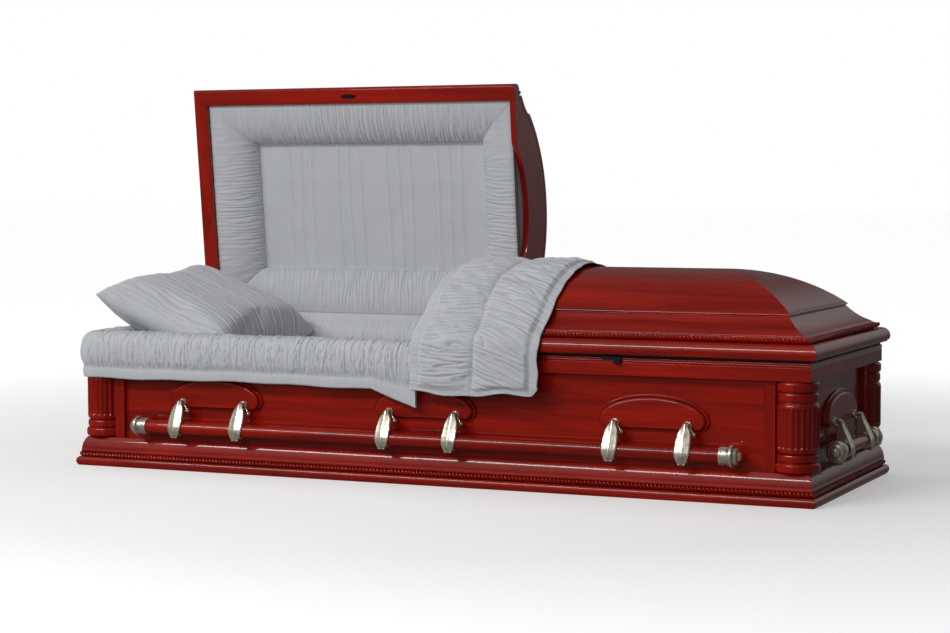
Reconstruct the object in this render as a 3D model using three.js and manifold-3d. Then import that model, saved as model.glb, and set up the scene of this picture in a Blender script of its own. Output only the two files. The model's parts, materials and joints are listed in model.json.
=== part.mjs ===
// A half-couch hardwood casket: a panelled case on a moulded base, a domed lid cut in two at
// mid-length, white shirred bedding, and swing-bar handles on all four sides.
// Millimetres, +Z up. X runs from the head (-) to the foot (+), and the front faces -Y.
// The origin is the centre of the case's underside. The head lid stands open, the foot lid is shut.
import * as THREE from "three";
import { mergeVertices } from "three/addons/utils/BufferGeometryUtils.js";
import Module from "manifold-3d";

const wasm = await Module();
wasm.setup();

// Driving dimensions of the case
const LENGTH = 2132; // over the base moulding
const WIDTH = 722;
const SEAT = 0.3; // gap between pieces that touch
const PANEL_INSET = 45; // from the base moulding's edge in to the face of the boards
const BOARD = 19; // thickness of the side and end boards
const FLOOR_BOARD = 16;
const BASE_HEIGHT = 80;
const RAIL_BOTTOM = 305;
const RAIL_HEIGHT = 45;
const RAIL_INSET = 18.5;
const RAIL_LIP = 1.2; // how far the rail's top lip stands proud
const GASKET_HEIGHT = 8;
const GASKET_INSET = 22;
const GASKET_WIDTH = 14;

// Corner posts
const POST_RADIUS = 53; // of the fluted shaft
const POST_REACH = 9; // from the base moulding's edge in to the shaft
const POST_GROOVE = 8; // depth of the grooves between the rings
const POST_FLUTES = 11;
const FLUTE_DEPTH = 3;
const STILE_WIDTH = 24;
const STILE_PROUD = 12;

// Mouldings
const ROPE_RADIUS = 7;
const BASE_ROPE_INSET = 12.5; // from the moulding's edge to the rope's centre
const BASE_ROPE_HEIGHT = 31;
const LID_ROPE_INSET = 28;

// Lids
const RIM_WIDTH = 47;
const RIM_HEIGHT = 38;
const COVE_RISE = 101; // from the lid's underside to the top of the cove
const DOME_RISE = 204; // from the lid's underside to the ridge
const DOME_INSET = 95; // from the lid's edge in to the foot of the dome
const COVE_FOOT_INSET = 36;
const LID_WALL = 12;
const LID_SPLIT = 0; // where the lid is cut across
const LID_GAP = 3; // between the two lids
const HEADER = 16; // thickness of the board that closes each lid at the cut
const ARCH_WIDTH = 380;
const ARCH_RISE = 66;
const HINGE_INSET = 11; // from the lid's back edge in to the hinge pin
const HINGE_RISE = 7; // above the rail
const HINGE_PIN = 4.5; // radius of the knuckles
const HINGE_LEAF = 2;
const HINGE_LEAF_DROP = 26;
const HINGE_END_GAP = 60;
const CATCH_LENGTH = 52;
const CATCH_WIDTH = 14;
const CATCH_DEPTH = 3;
const OPEN_ANGLE = 84;

// Lining of the head lid
const ROLL_RECESS = 14; // from the rim's face up to the shirred roll
const ROLL_WIDTH = 130;
const ROLL_DEPTH = 74;
const ROLL_PAD = 10;
const LINING_GAP = 1.5;

// Bedding
const MATTRESS_TOP = 235;
const BED_LINING = 9;
const APRON_RISE = 41; // the lining's back edge, carried up to hide the hinge
const APRON_CLEAR = 10;
const OVER_SKIRT_BOTTOM = 246;
const OVER_PAD = 19; // padding over the rail
const OVER_SKIRT_PAD = 15;
const OVER_SKIRT_INSET = 9; // from the base moulding's edge in to the back of the skirt
const OVER_INNER_DROP = 58;
const OVER_FLAP_RUN = 130; // the hem sinks over this length to its corner at the cut
const OVER_FLAP_DROP = 46;
const OVER_BACK_END = 81; // from the case's back edge in to where it stops at the head end
const PILLOW_LENGTH = 470; // along the case
const PILLOW_WIDTH = 550;
const PILLOW_THICKNESS = 176;
const PILLOW_SAG = 0.3; // share by which its underside is fuller at the foot end
const PILLOW_FROM_HEAD = 213; // from the base moulding's head edge to the pillow's middle
const PILLOW_LIFT = 172; // of its middle above the mattress
const PILLOW_TILT = 22; // degrees, the head end up
const PILLOW_ROLL = 4; // degrees, the back up
const THROW_REACH = 350; // from the cut along the foot lid
const THROW_OVERHANG = 15; // past the cut, over the opening
const THROW_BOTTOM = 240;
const THROW_PAD = 10;
const THROW_CLEAR = 2;
const THROW_BACK = 190; // how far it runs down behind the ridge

// Handles
const BAR_RADIUS = 18;
const CAP_SLEEVE_RADIUS = 22.5;
const CAP_SLEEVE_LENGTH = 27;
const CAP_FLANGE_RADIUS = 28;
const CAP_FLANGE_WIDTH = 8;
const CAP_DOME_LENGTH = 21;
const SIDE_BAR = 1762; // length over the tips
const END_BAR = 396;
const BAR_STANDOFF = 45; // from the boards out to the bar's centre
const BAR_HEIGHT = 119;
const PIVOT_STANDOFF = 30;
const PIVOT_HEIGHT = 186;
const ARM_PAIR = 192; // between the two arms of a pair
const PAIR_PITCH = 635; // between pairs along a side
const ARM_LEAN = 19; // degrees, the tail outwards
const ARM_TAIL = 31; // below the bar's centre
const BLADE_HALF = 20.5; // half the widest part of an arm
const SOCKET_WALL = 5; // metal round the bar
const BAR_PLAY = 1;
const PLATE_WIDTH = 298;
const PLATE_BOTTOM = 171;
const PLATE_TOP = 261;
const PLATE_WIDEST = 9; // above the pivots
const PLATE_EDGE = 7; // thickness at the edge
const PLATE_BODY = 15; // thickness of the raised middle
const PLATE_STEP = 11; // width of the step between them
const LUG_WIDTH = 9;
const FORK_EAR = 5;
const FORK_PLAY = 0.6;
const EYE_RADIUS = 9;

// Sizes that follow from these
const HALF_L = LENGTH / 2;
const HALF_W = WIDTH / 2;
const HIP = HALF_L - HALF_W; // a mitred frame's half-length is its half-width plus this
const PANEL_W = HALF_W - PANEL_INSET;
const INNER_W = PANEL_W - BOARD;
const RAIL_TOP = RAIL_BOTTOM + RAIL_HEIGHT;
const LID_BOTTOM = RAIL_TOP + GASKET_HEIGHT;
const RIM_TOP = LID_BOTTOM + RIM_HEIGHT;
const RIM_INNER_W = HALF_W - RIM_WIDTH;
const HINGE_Z = RAIL_TOP + HINGE_RISE;
const ROLL_TOP = LID_BOTTOM + ROLL_RECESS;
const LINING_PANEL_Z = ROLL_TOP + ROLL_DEPTH;
const HINGE_REACH = HALF_W - HINGE_INSET; // from the centre plane back to the hinge pin
const FAR = LENGTH; // longer than anything it cuts

// Woods, cloths and metals
const wood = new THREE.MeshStandardMaterial({ color: 0x8a1508, roughness: 0.18, metalness: 0 });
const darkWood = new THREE.MeshStandardMaterial({ color: 0x6a0f07, roughness: 0.2, metalness: 0 });
const crepe = new THREE.MeshStandardMaterial({ color: 0xe6e9ec, roughness: 0.85, metalness: 0 });
const ticking = new THREE.MeshStandardMaterial({ color: 0xdfe2e4, roughness: 0.9, metalness: 0 });
const brass = new THREE.MeshStandardMaterial({ color: 0xa89a78, roughness: 0.3, metalness: 1 });
const blackIron = new THREE.MeshStandardMaterial({ color: 0x141414, roughness: 0.5, metalness: 0.6 });
const rubber = new THREE.MeshStandardMaterial({ color: 0x0d0d0d, roughness: 0.8, metalness: 0 });

// Solids from geometry, and back
function solid(geometry) {
  const bare = geometry.index ? geometry.toNonIndexed() : geometry.clone();
  bare.deleteAttribute("normal");
  bare.deleteAttribute("uv");
  const merged = mergeVertices(bare, 1e-4);
  const whole = [];
  const index = merged.index.array;
  for (let i = 0; i < index.length; i += 3) {
    const [a, b, c] = index.slice(i, i + 3);
    if (a !== b && b !== c && c !== a) whole.push(a, b, c);
  }
  return new wasm.Manifold(
    new wasm.Mesh({
      numProp: 3,
      vertProperties: merged.attributes.position.array,
      triVerts: new Uint32Array(whole),
    }),
  );
}

function geometryOf(made) {
  const { vertProperties, triVerts } = made.getMesh();
  const geometry = new THREE.BufferGeometry();
  geometry.setAttribute("position", new THREE.BufferAttribute(new Float32Array(vertProperties), 3));
  geometry.setIndex(new THREE.BufferAttribute(new Uint32Array(triVerts), 1));
  const flat = geometry.toNonIndexed();
  flat.computeVertexNormals();
  return flat;
}

function piece(name, made, material) {
  const mesh = new THREE.Mesh(geometryOf(made), material);
  mesh.name = name;
  return mesh;
}

const union = (...solids) => solids.reduce((a, b) => a.add(b));

// A box between two corners
function box(x0, x1, y0, y1, z0, z1) {
  const geometry = new THREE.BoxGeometry(x1 - x0, y1 - y0, z1 - z0);
  geometry.translate((x0 + x1) / 2, (y0 + y1) / 2, (z0 + z1) / 2);
  return solid(geometry);
}

// An outline of [a, b] points pushed out along an axis
function shapeOf(points) {
  return new THREE.Shape(points.map(([a, b]) => new THREE.Vector2(a, b)));
}

function extrude(points, depth, xAxis, yAxis, zAxis, start) {
  const geometry = new THREE.ExtrudeGeometry(shapeOf(points), { depth, bevelEnabled: false });
  geometry.translate(0, 0, start);
  geometry.applyMatrix4(new THREE.Matrix4().makeBasis(xAxis, yAxis, zAxis));
  return solid(geometry);
}

const X = new THREE.Vector3(1, 0, 0);
const Y = new THREE.Vector3(0, 1, 0);
const Z = new THREE.Vector3(0, 0, 1);
const alongX = (points, x0, x1) => extrude(points, x1 - x0, Y, Z, X, x0);
const alongY = (points, y0, y1) => extrude(points, y1 - y0, X, Z, Y.clone().negate(), -y1);
const alongZ = (points, z0, z1) => extrude(points, z1 - z0, X, Y, Z, z0);

// Points on an ellipse, angles in degrees
function arc(cx, cy, rx, ry, from, to, steps) {
  return Array.from({ length: steps + 1 }, (_, i) => {
    const angle = THREE.MathUtils.degToRad(from + ((to - from) * i) / steps);
    return [cx + rx * Math.cos(angle), cy + ry * Math.sin(angle)];
  });
}

// Points on a quadratic curve
function bend(a, b, c, steps) {
  const curve = new THREE.QuadraticBezierCurve(
    new THREE.Vector2(...a),
    new THREE.Vector2(...b),
    new THREE.Vector2(...c),
  );
  return curve.getPoints(steps).map((p) => [p.x, p.y]);
}

// A rectangular frame mitred at its corners. The profile is a closed list of [inset, z], where
// inset is measured in from the rectangle's edge.
function frame(x0, x1, y0, y1, profile) {
  const corner = ([inset, z]) => [
    [x0 + inset, y0 + inset, z],
    [x1 - inset, y0 + inset, z],
    [x1 - inset, y1 - inset, z],
    [x0 + inset, y1 - inset, z],
  ];
  const rings = profile.map(corner);
  const positions = [];
  rings.forEach((ring, i) => {
    const next = rings[(i + 1) % rings.length];
    for (let k = 0; k < ring.length; k++) {
      const m = (k + 1) % ring.length;
      positions.push(...ring[k], ...ring[m], ...next[m], ...ring[k], ...next[m], ...next[k]);
    }
  });
  const geometry = new THREE.BufferGeometry();
  geometry.setAttribute("position", new THREE.BufferAttribute(new Float32Array(positions), 3));
  const made = solid(geometry);
  return made.volume() < 0 ? frame(x0, x1, y0, y1, profile.slice().reverse()) : made;
}

// A frame round the whole case. Its profile holds [half-width, z].
const caseFrame = (profile) =>
  frame(-HALF_L, HALF_L, -HALF_W, HALF_W, profile.map(([w, z]) => [HALF_W - w, z]));

// A solid whose half-width at each height is the outline's, with ends hipped at 45 degrees
function hipped(outline) {
  const across = outline.concat(outline.filter(([w]) => w > 0).map(([w, z]) => [-w, z]).reverse());
  const along = [];
  for (const [w, z] of outline) along.push([w + HIP, z]);
  for (const [w, z] of outline.slice().reverse()) along.push([-w - HIP, z]);
  return alongX(across, -FAR, FAR).intersect(alongY(along, -FAR, FAR));
}

// The case: floor, boards, base moulding, rope and rail
function floorBoard() {
  const w = PANEL_W;
  return piece("floor_board", box(-w - HIP, w + HIP, -w, w, 0, FLOOR_BOARD), darkWood);
}

function boards() {
  const low = FLOOR_BOARD + SEAT;
  const high = RAIL_BOTTOM - SEAT;
  const side = box(-PANEL_W - HIP, PANEL_W + HIP, -PANEL_W, -INNER_W, low, high);
  const end = box(INNER_W + HIP, PANEL_W + HIP, -INNER_W + SEAT, INNER_W - SEAT, low, high);
  return [
    piece("side_board_front", side, wood),
    piece("side_board_back", side.rotate([0, 0, 180]), wood),
    piece("end_board_foot", end, wood),
    piece("end_board_head", end.rotate([0, 0, 180]), wood),
  ];
}

function baseMoulding() {
  const h = HALF_W;
  const seatTop = BASE_ROPE_HEIGHT + ROPE_RADIUS;
  const seatW = h - BASE_ROPE_INSET - ROPE_RADIUS - SEAT;
  const lip = h - 11;
  const profile = [
    [PANEL_W + SEAT, 0],
    [h - 4, 0],
    ...arc(h - 9, 12, 9, 12, -60, 75, 5),
    [h - 10, BASE_ROPE_HEIGHT - ROPE_RADIUS - SEAT],
    [seatW, BASE_ROPE_HEIGHT - ROPE_RADIUS - SEAT],
    [seatW, seatTop + SEAT],
    [lip, seatTop + SEAT],
    ...bend([lip, seatTop + 6], [lip - 1, seatTop + 28], [h - 25, BASE_HEIGHT], 5),
    [PANEL_W + SEAT, BASE_HEIGHT],
  ];
  return piece("base_moulding", caseFrame(profile), wood);
}

function ropeRing(centreW, centreZ) {
  return caseFrame(arc(centreW, centreZ, ROPE_RADIUS, ROPE_RADIUS, 0, 315, 7));
}

function topRail() {
  const w = HALF_W - RAIL_INSET;
  const lipBottom = RAIL_TOP - 11;
  const profile = [
    [INNER_W, RAIL_BOTTOM],
    [w - 2, RAIL_BOTTOM],
    [w, RAIL_BOTTOM + 3],
    [w, lipBottom - 1],
    [w - 1.5, lipBottom],
    [w + RAIL_LIP, lipBottom + 2],
    [w + RAIL_LIP, RAIL_TOP - 2],
    [w, RAIL_TOP],
    [INNER_W, RAIL_TOP],
  ];
  return piece("top_rail", caseFrame(profile), wood);
}

function gasket() {
  const outer = HALF_W - GASKET_INSET;
  const profile = [
    [outer - GASKET_WIDTH, RAIL_TOP + SEAT],
    [outer, RAIL_TOP + SEAT],
    [outer, LID_BOTTOM - SEAT],
    [outer - GASKET_WIDTH, LID_BOTTOM - SEAT],
  ];
  return piece("rail_gasket", caseFrame(profile), rubber);
}

// A turned solid, from [radius, height] points, standing along Z
function turned(profile, steps) {
  const points = profile.map(([r, h]) => new THREE.Vector2(r, h));
  const geometry = new THREE.LatheGeometry(points, steps);
  geometry.rotateX(Math.PI / 2);
  return solid(geometry);
}

// A corner post: a half-round fluted column between rings, with a flat stile on each side of it,
// cut to sit over the corner of the boards. Built at the front foot corner.
function cornerPost() {
  const cx = HALF_L - POST_REACH - POST_RADIUS;
  const cy = -(HALF_W - POST_REACH - POST_RADIUS);
  const low = BASE_HEIGHT + SEAT;
  const high = RAIL_BOTTOM - SEAT;
  const shaftLow = low + 47;
  const shaftHigh = high - 52;
  const groove = POST_RADIUS - POST_GROOVE;
  const ring = (radius, bottom, top) => [
    [groove, bottom],
    [radius, bottom + 5],
    [radius, top - 5],
    [groove, top],
  ];
  const core = turned(
    [
      [0, low],
      ...ring(POST_RADIUS + 3, low, low + 26),
      ...ring(POST_RADIUS - 1, low + 26, shaftLow).slice(1),
      ...ring(POST_RADIUS - 2, shaftHigh, high - 27),
      ...ring(POST_RADIUS, high - 27, high).slice(1),
      [0, high],
    ],
    14,
  ).translate([cx, cy, 0]);
  const [from, to] = [-152, 62];
  const step = (to - from) / POST_FLUTES;
  const onCircle = (radius, angle) => arc(cx, cy, radius, radius, angle, angle, 1)[0];
  const section = [];
  for (let angle = from; angle < to - 1; angle += step) {
    section.push(onCircle(POST_RADIUS - FLUTE_DEPTH, angle));
    section.push(onCircle(POST_RADIUS, angle + step * 0.28), onCircle(POST_RADIUS, angle + step * 0.72));
  }
  section.push(onCircle(POST_RADIUS - FLUTE_DEPTH, to), [cx, cy]);
  const shaft = alongZ(section, shaftLow, shaftHigh);
  const stileFace = PANEL_W + STILE_PROUD;
  const cornerX = PANEL_W + HIP;
  const stileX = cx - POST_RADIUS;
  const stileY = cy + POST_RADIUS;
  const stiles = union(
    box(stileX - STILE_WIDTH, stileX + 6, -stileFace, -PANEL_W, low, high),
    box(cornerX, stileFace + HIP, stileY - 6, stileY + STILE_WIDTH, low, high),
  );
  const boardsCorner = box(-FAR, cornerX + SEAT, -PANEL_W - SEAT, FAR, 0, FAR);
  return union(shaft, core, stiles).subtract(boardsCorner);
}

function cornerPosts() {
  const post = cornerPost();
  return [
    piece("corner_post_front_foot", post, wood),
    piece("corner_post_front_head", post.mirror([1, 0, 0]), wood),
    piece("corner_post_back_foot", post.mirror([0, 1, 0]), wood),
    piece("corner_post_back_head", post.mirror([1, 0, 0]).mirror([0, 1, 0]), wood),
  ];
}

// Half-lid outlines, as [half-width, z] from the bottom up
function lidOutline() {
  const foot = HALF_W - COVE_FOOT_INSET;
  const spring = HALF_W - DOME_INSET;
  const springZ = LID_BOTTOM + COVE_RISE + 6;
  const ridgeZ = LID_BOTTOM + DOME_RISE;
  return [
    [foot, RIM_TOP + SEAT],
    [foot, RIM_TOP + 16],
    ...bend([foot - 6, RIM_TOP + 19], [foot - 35, RIM_TOP + 31], [spring - 2, springZ - 6], 5),
    [spring + 2, springZ - 5],
    ...domeArc(spring, springZ, ridgeZ, 8),
  ];
}

function lidHollow() {
  const foot = HALF_W - COVE_FOOT_INSET - LID_WALL;
  const spring = HALF_W - DOME_INSET - LID_WALL;
  const springZ = LID_BOTTOM + COVE_RISE - 2;
  const ridgeZ = LID_BOTTOM + DOME_RISE - LID_WALL;
  return [
    [foot, RIM_TOP - 1],
    [foot, RIM_TOP + 7],
    ...bend([foot - 6, RIM_TOP + 10], [foot - 33, RIM_TOP + 22], [spring, springZ - 4], 4),
    ...domeArc(spring, springZ, ridgeZ, 6),
  ];
}

// A shallow arc from a half-width at one height up to the ridge
function domeArc(spring, springZ, ridgeZ, steps) {
  const rise = ridgeZ - springZ;
  const radius = (spring * spring + rise * rise) / (2 * rise);
  return Array.from({ length: steps + 1 }, (_, i) => {
    const w = spring * (1 - i / steps);
    return [w, ridgeZ - radius + Math.sqrt(radius * radius - w * w)];
  });
}

// What lies on the head (-1) or foot (+1) side of the cut
const halfSpace = (side) => {
  const near = LID_SPLIT + (side * LID_GAP) / 2;
  return side < 0 ? box(-FAR, near, -FAR, FAR, 0, FAR) : box(near, FAR, -FAR, FAR, 0, FAR);
};

const lidTop = (side) => hipped(lidOutline()).subtract(hipped(lidHollow())).intersect(halfSpace(side));

// The rim: a bullnosed moulding with a rebate for the hinge along its back edge
function lidRim(side) {
  const h = HALF_W;
  const profile = [
    [RIM_INNER_W, LID_BOTTOM],
    [h - 8, LID_BOTTOM],
    [h - 3, LID_BOTTOM + 4],
    ...arc(h - 19, LID_BOTTOM + 14, 19, 23.5, 0, 80, 5),
    [h - 22, RIM_TOP],
    [RIM_INNER_W, RIM_TOP],
  ];
  const rebate = box(-FAR, FAR, HINGE_REACH - 6, HALF_W + 1, LID_BOTTOM - 1, HINGE_Z + HINGE_PIN + 1);
  return caseFrame(profile).subtract(rebate).intersect(halfSpace(side));
}

const lidRope = (side) =>
  ropeRing(HALF_W - LID_ROPE_INSET, RIM_TOP + SEAT + ROPE_RADIUS).intersect(halfSpace(side));

// The header closes the lid at the cut, with a shallow arch in its lower edge
function lidHeader(side) {
  const wall = RIM_INNER_W - SEAT;
  const hollow = lidHollow();
  const outline = [[wall, LID_BOTTOM], [wall, RIM_TOP - SEAT], [hollow[0][0] - 1, RIM_TOP - SEAT]];
  hollow.slice(1).forEach(([w, z]) => outline.push([Math.max(w - 1, 0), z - 1]));
  const across = outline.concat(outline.filter(([w]) => w > 0).map(([w, z]) => [-w, z]).reverse());
  const near = LID_SPLIT + (side * LID_GAP) / 2;
  const far = near + side * HEADER;
  const board = alongX(across, Math.min(near, far), Math.max(near, far));
  const half = ARCH_WIDTH / 2;
  const radius = (half * half + ARCH_RISE * ARCH_RISE) / (2 * ARCH_RISE);
  const spread = THREE.MathUtils.radToDeg(Math.asin(half / radius));
  const top = arc(0, LID_BOTTOM + ARCH_RISE - radius, radius, radius, 90 - spread, 90 + spread, 8);
  const arch = alongX([[-half, LID_BOTTOM - 1], [half, LID_BOTTOM - 1], ...top], -FAR, FAR);
  return board.subtract(arch);
}

// The head lid's lining: a shirred roll round a flat pleated panel, drawn with the lid shut
function lidLining() {
  const x0 = -(RIM_INNER_W + HIP) + LINING_GAP;
  const x1 = LID_SPLIT - LID_GAP / 2 - HEADER - LINING_GAP;
  const y = RIM_INNER_W - LINING_GAP;
  const front = arc(0, LINING_PANEL_Z, ROLL_WIDTH, ROLL_DEPTH, -90, 0, 6);
  const back = arc(0, LINING_PANEL_Z, ROLL_WIDTH - ROLL_PAD, ROLL_DEPTH - ROLL_PAD, 0, -90, 6);
  const roll = frame(x0, x1, -y, y, front.concat(back));
  const inset = ROLL_WIDTH - ROLL_PAD - SEAT * 2;
  const low = LINING_PANEL_Z + SEAT;
  const panel = box(x0 + inset, x1 - inset, -y + inset, y - inset, low, low + ROLL_PAD);
  return { roll, panel };
}

// A continuous hinge on the back of the rail: knuckles and the leaf screwed to the rail
function hinge(side) {
  const railBack = HALF_W - RAIL_INSET + RAIL_LIP + SEAT;
  const near = LID_SPLIT + side * HINGE_END_GAP;
  const far = side * (HALF_L - HINGE_END_GAP * 2);
  const [x0, x1] = [Math.min(near, far), Math.max(near, far)];
  const knuckles = alongX(arc(HINGE_REACH, HINGE_Z, HINGE_PIN, HINGE_PIN, 0, 324, 9), x0, x1);
  const foot = HINGE_Z - HINGE_LEAF_DROP;
  const leaf = box(x0, x1, railBack, railBack + HINGE_LEAF, foot, HINGE_Z - 1);
  const bridge = box(x0, x1, railBack, HINGE_REACH, HINGE_Z - 3, HINGE_Z - 1);
  return union(knuckles, leaf, bridge);
}

// An upright oval slab, half-way along the head lid and over the gasket
function catchOval(grow, low, high) {
  const outline = arc(0, 0, CATCH_LENGTH / 2 + grow, CATCH_WIDTH / 2 + grow, 0, 330, 11);
  const y = -(HALF_W - GASKET_INSET - GASKET_WIDTH / 3);
  return alongZ(outline, low, high).translate([-HALF_L / 2, y, 0]);
}

// The black catch plate, let in flush with the underside of the rim
const lidCatch = () => catchOval(0, LID_BOTTOM, LID_BOTTOM + CATCH_DEPTH - SEAT);
const catchRecess = () => catchOval(SEAT, LID_BOTTOM - 1, LID_BOTTOM + CATCH_DEPTH);

// The black latch on the rail, which shows under the foot lid
function railLatch(middle) {
  const face = -(HALF_W - RAIL_INSET + RAIL_LIP) - SEAT;
  const strap = box(middle - 26, middle + 26, face - 3, face, RAIL_TOP - 4, RAIL_TOP + 3);
  const knob = box(middle + 8, middle + 26, face - 8, face, RAIL_TOP - 15, RAIL_TOP - 2);
  return union(strap, knob);
}

function lids() {
  const head = new THREE.Group();
  head.name = "head_lid";
  const foot = new THREE.Group();
  foot.name = "foot_lid";
  for (const [group, prefix, side] of [[head, "head_lid", -1], [foot, "foot_lid", 1]]) {
    group.add(piece(`${prefix}_top`, lidTop(side), wood));
    const rim = lidRim(side).subtract(catchRecess());
    group.add(piece(`${prefix}_rim`, rim, wood));
    group.add(piece(`${prefix}_rope`, lidRope(side), wood));
    group.add(piece(`${prefix}_header`, lidHeader(side), wood));
  }
  const { roll, panel } = lidLining();
  head.add(piece("head_lid_roll", roll, crepe));
  head.add(piece("head_lid_panel", panel, crepe));
  head.add(piece("head_lid_catch", lidCatch(), blackIron));
  head.children.forEach((mesh) => mesh.geometry.translate(0, -HINGE_REACH, -HINGE_Z));
  head.position.set(0, HINGE_REACH, HINGE_Z);
  head.rotation.x = THREE.MathUtils.degToRad(-OPEN_ANGLE);
  return [head, foot];
}

// Bedding: mattress, wall lining with its apron, the padded extendover, pillow and throw
function mattress() {
  const w = INNER_W - BED_LINING - 3;
  const low = FLOOR_BOARD + SEAT;
  const profile = [[w - 6, low], [w, low + 12], [w, MATTRESS_TOP - 22], [w - 12, MATTRESS_TOP]];
  const outline = profile.concat(profile.map(([a, b]) => [-a, b]).reverse());
  const ends = profile.map(([a, b]) => [a + HIP, b]);
  const along = ends.concat(ends.map(([a, b]) => [-a, b]).reverse());
  const made = alongX(outline, -FAR, FAR).intersect(alongY(along, -FAR, FAR));
  return piece("mattress", made, ticking);
}

function bedLining() {
  const outer = INNER_W - 0.5;
  const inner = outer - BED_LINING;
  const top = RAIL_TOP;
  const low = MATTRESS_TOP + SEAT;
  const ring = caseFrame([[inner, low], [outer, low], [outer, top], [inner, top]]);
  const overCut = box(-FAR, LID_SPLIT, -FAR, inner - 1, RAIL_TOP - OVER_INNER_DROP - 1, FAR);
  const apronTop = LID_BOTTOM + APRON_RISE;
  const apron = [
    [inner, top - 5],
    [outer, top - 5],
    [outer, top + 1],
    [HINGE_REACH - APRON_CLEAR, apronTop - 3],
    [HINGE_REACH - APRON_CLEAR - BED_LINING, apronTop],
    [inner, top + 4],
  ];
  const band = alongX(apron, -INNER_W - HIP + BED_LINING, LID_SPLIT - APRON_CLEAR);
  return piece("wall_lining", ring.subtract(overCut).add(band), crepe);
}

function extendover() {
  const w0 = INNER_W - 1.5;
  const inside = w0 - 13;
  const low = RAIL_TOP - OVER_INNER_DROP;
  const under = LID_BOTTOM + 1;
  const top = under + OVER_PAD;
  const hangs = HALF_W - OVER_SKIRT_INSET;
  const outside = hangs + OVER_SKIRT_PAD;
  const profile = [
    [inside, low],
    [w0, low],
    [w0, under],
    [hangs - 4, under],
    [hangs, under - 12],
    [hangs, OVER_SKIRT_BOTTOM],
    [outside - 3, OVER_SKIRT_BOTTOM],
    [outside, OVER_SKIRT_BOTTOM + 34],
    [outside + 2, RAIL_TOP - 25],
    [outside, under],
    [outside - 8, top - 4],
    [outside - 24, top],
    [inside + 14, top],
    [inside + 2, top - 8],
    [inside, top - 20],
  ];
  const ring = caseFrame(profile);
  const end = LID_SPLIT - 6;
  const kept = box(-FAR, end, -FAR, HALF_W - OVER_BACK_END, 0, FAR);
  const flapTop = OVER_SKIRT_BOTTOM + 1;
  const corner = [end, OVER_SKIRT_BOTTOM - OVER_FLAP_DROP];
  const flap = alongY([[end - OVER_FLAP_RUN, flapTop], corner, [end, flapTop]], 3 - outside, -hangs);
  return piece("extendover", ring.intersect(kept).add(flap), crepe);
}

function pillow() {
  const nx = 7;
  const ny = 8;
  const height = (u, v) => {
    const crown = (1 - u ** 4) * (1 - v ** 4);
    return (PILLOW_THICKNESS / 2) * Math.sqrt(Math.max(crown, 0));
  };
  const at = (i, j, side) => {
    const u = (2 * i) / nx - 1;
    const v = (2 * j) / ny - 1;
    const pinch = 1 - 0.07 * (1 - u * u);
    const waist = 1 - 0.07 * (1 - v * v);
    const full = side > 0 ? 1 : 1 + PILLOW_SAG * u;
    return [(PILLOW_LENGTH / 2) * u * waist, (PILLOW_WIDTH / 2) * v * pinch, side * full * height(u, v)];
  };
  const positions = [];
  for (const side of [1, -1]) {
    for (let i = 0; i < nx; i++) {
      for (let j = 0; j < ny; j++) {
        const [a, b, c, d] = [at(i, j, side), at(i + 1, j, side), at(i + 1, j + 1, side), at(i, j + 1, side)];
        const faces = side > 0 ? [a, b, c, a, c, d] : [a, c, b, a, d, c];
        faces.forEach((p) => positions.push(...p));
      }
    }
  }
  const geometry = new THREE.BufferGeometry();
  geometry.setAttribute("position", new THREE.BufferAttribute(new Float32Array(positions), 3));
  const mesh = piece("pillow", solid(geometry), crepe);
  mesh.rotation.x = THREE.MathUtils.degToRad(PILLOW_ROLL);
  mesh.rotation.y = THREE.MathUtils.degToRad(PILLOW_TILT);
  mesh.position.set(-HALF_L + PILLOW_FROM_HEAD, 0, MATTRESS_TOP + PILLOW_LIFT);
  return mesh;
}

// The throw lies over the lid's cut edge, from the front hem over the rim and the dome to behind
// the ridge, and bridges the cove
function throwOver() {
  const hang = HALF_W - OVER_SKIRT_INSET + OVER_SKIRT_PAD + THROW_CLEAR * 2;
  const clear = THROW_CLEAR + 3;
  const dome = domeArc(HALF_W - DOME_INSET, LID_BOTTOM + COVE_RISE + 6, LID_BOTTOM + DOME_RISE, 8);
  const lifted = dome.map(([w, z]) => [w + clear, z + clear]);
  const path = [
    [-hang, THROW_BOTTOM],
    [-hang, RAIL_TOP],
    [-hang + 1, LID_BOTTOM + 26],
    [-HALF_W + 15, RIM_TOP + 12],
    ...lifted.map(([w, z]) => [-w, z]),
    ...lifted.slice(0, -1).reverse().filter(([w]) => w < THROW_BACK),
  ];
  const grown = path.map(([y, z], i) => {
    const before = path[Math.max(i - 1, 0)];
    const after = path[Math.min(i + 1, path.length - 1)];
    const [dy, dz] = [after[0] - before[0], after[1] - before[1]];
    const length = Math.hypot(dy, dz);
    return [y - (dz / length) * THROW_PAD, z + (dy / length) * THROW_PAD];
  });
  const made = alongX(path.concat(grown.reverse()), LID_SPLIT - THROW_OVERHANG, LID_SPLIT + THROW_REACH);
  return piece("throw", made, crepe);
}

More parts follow.
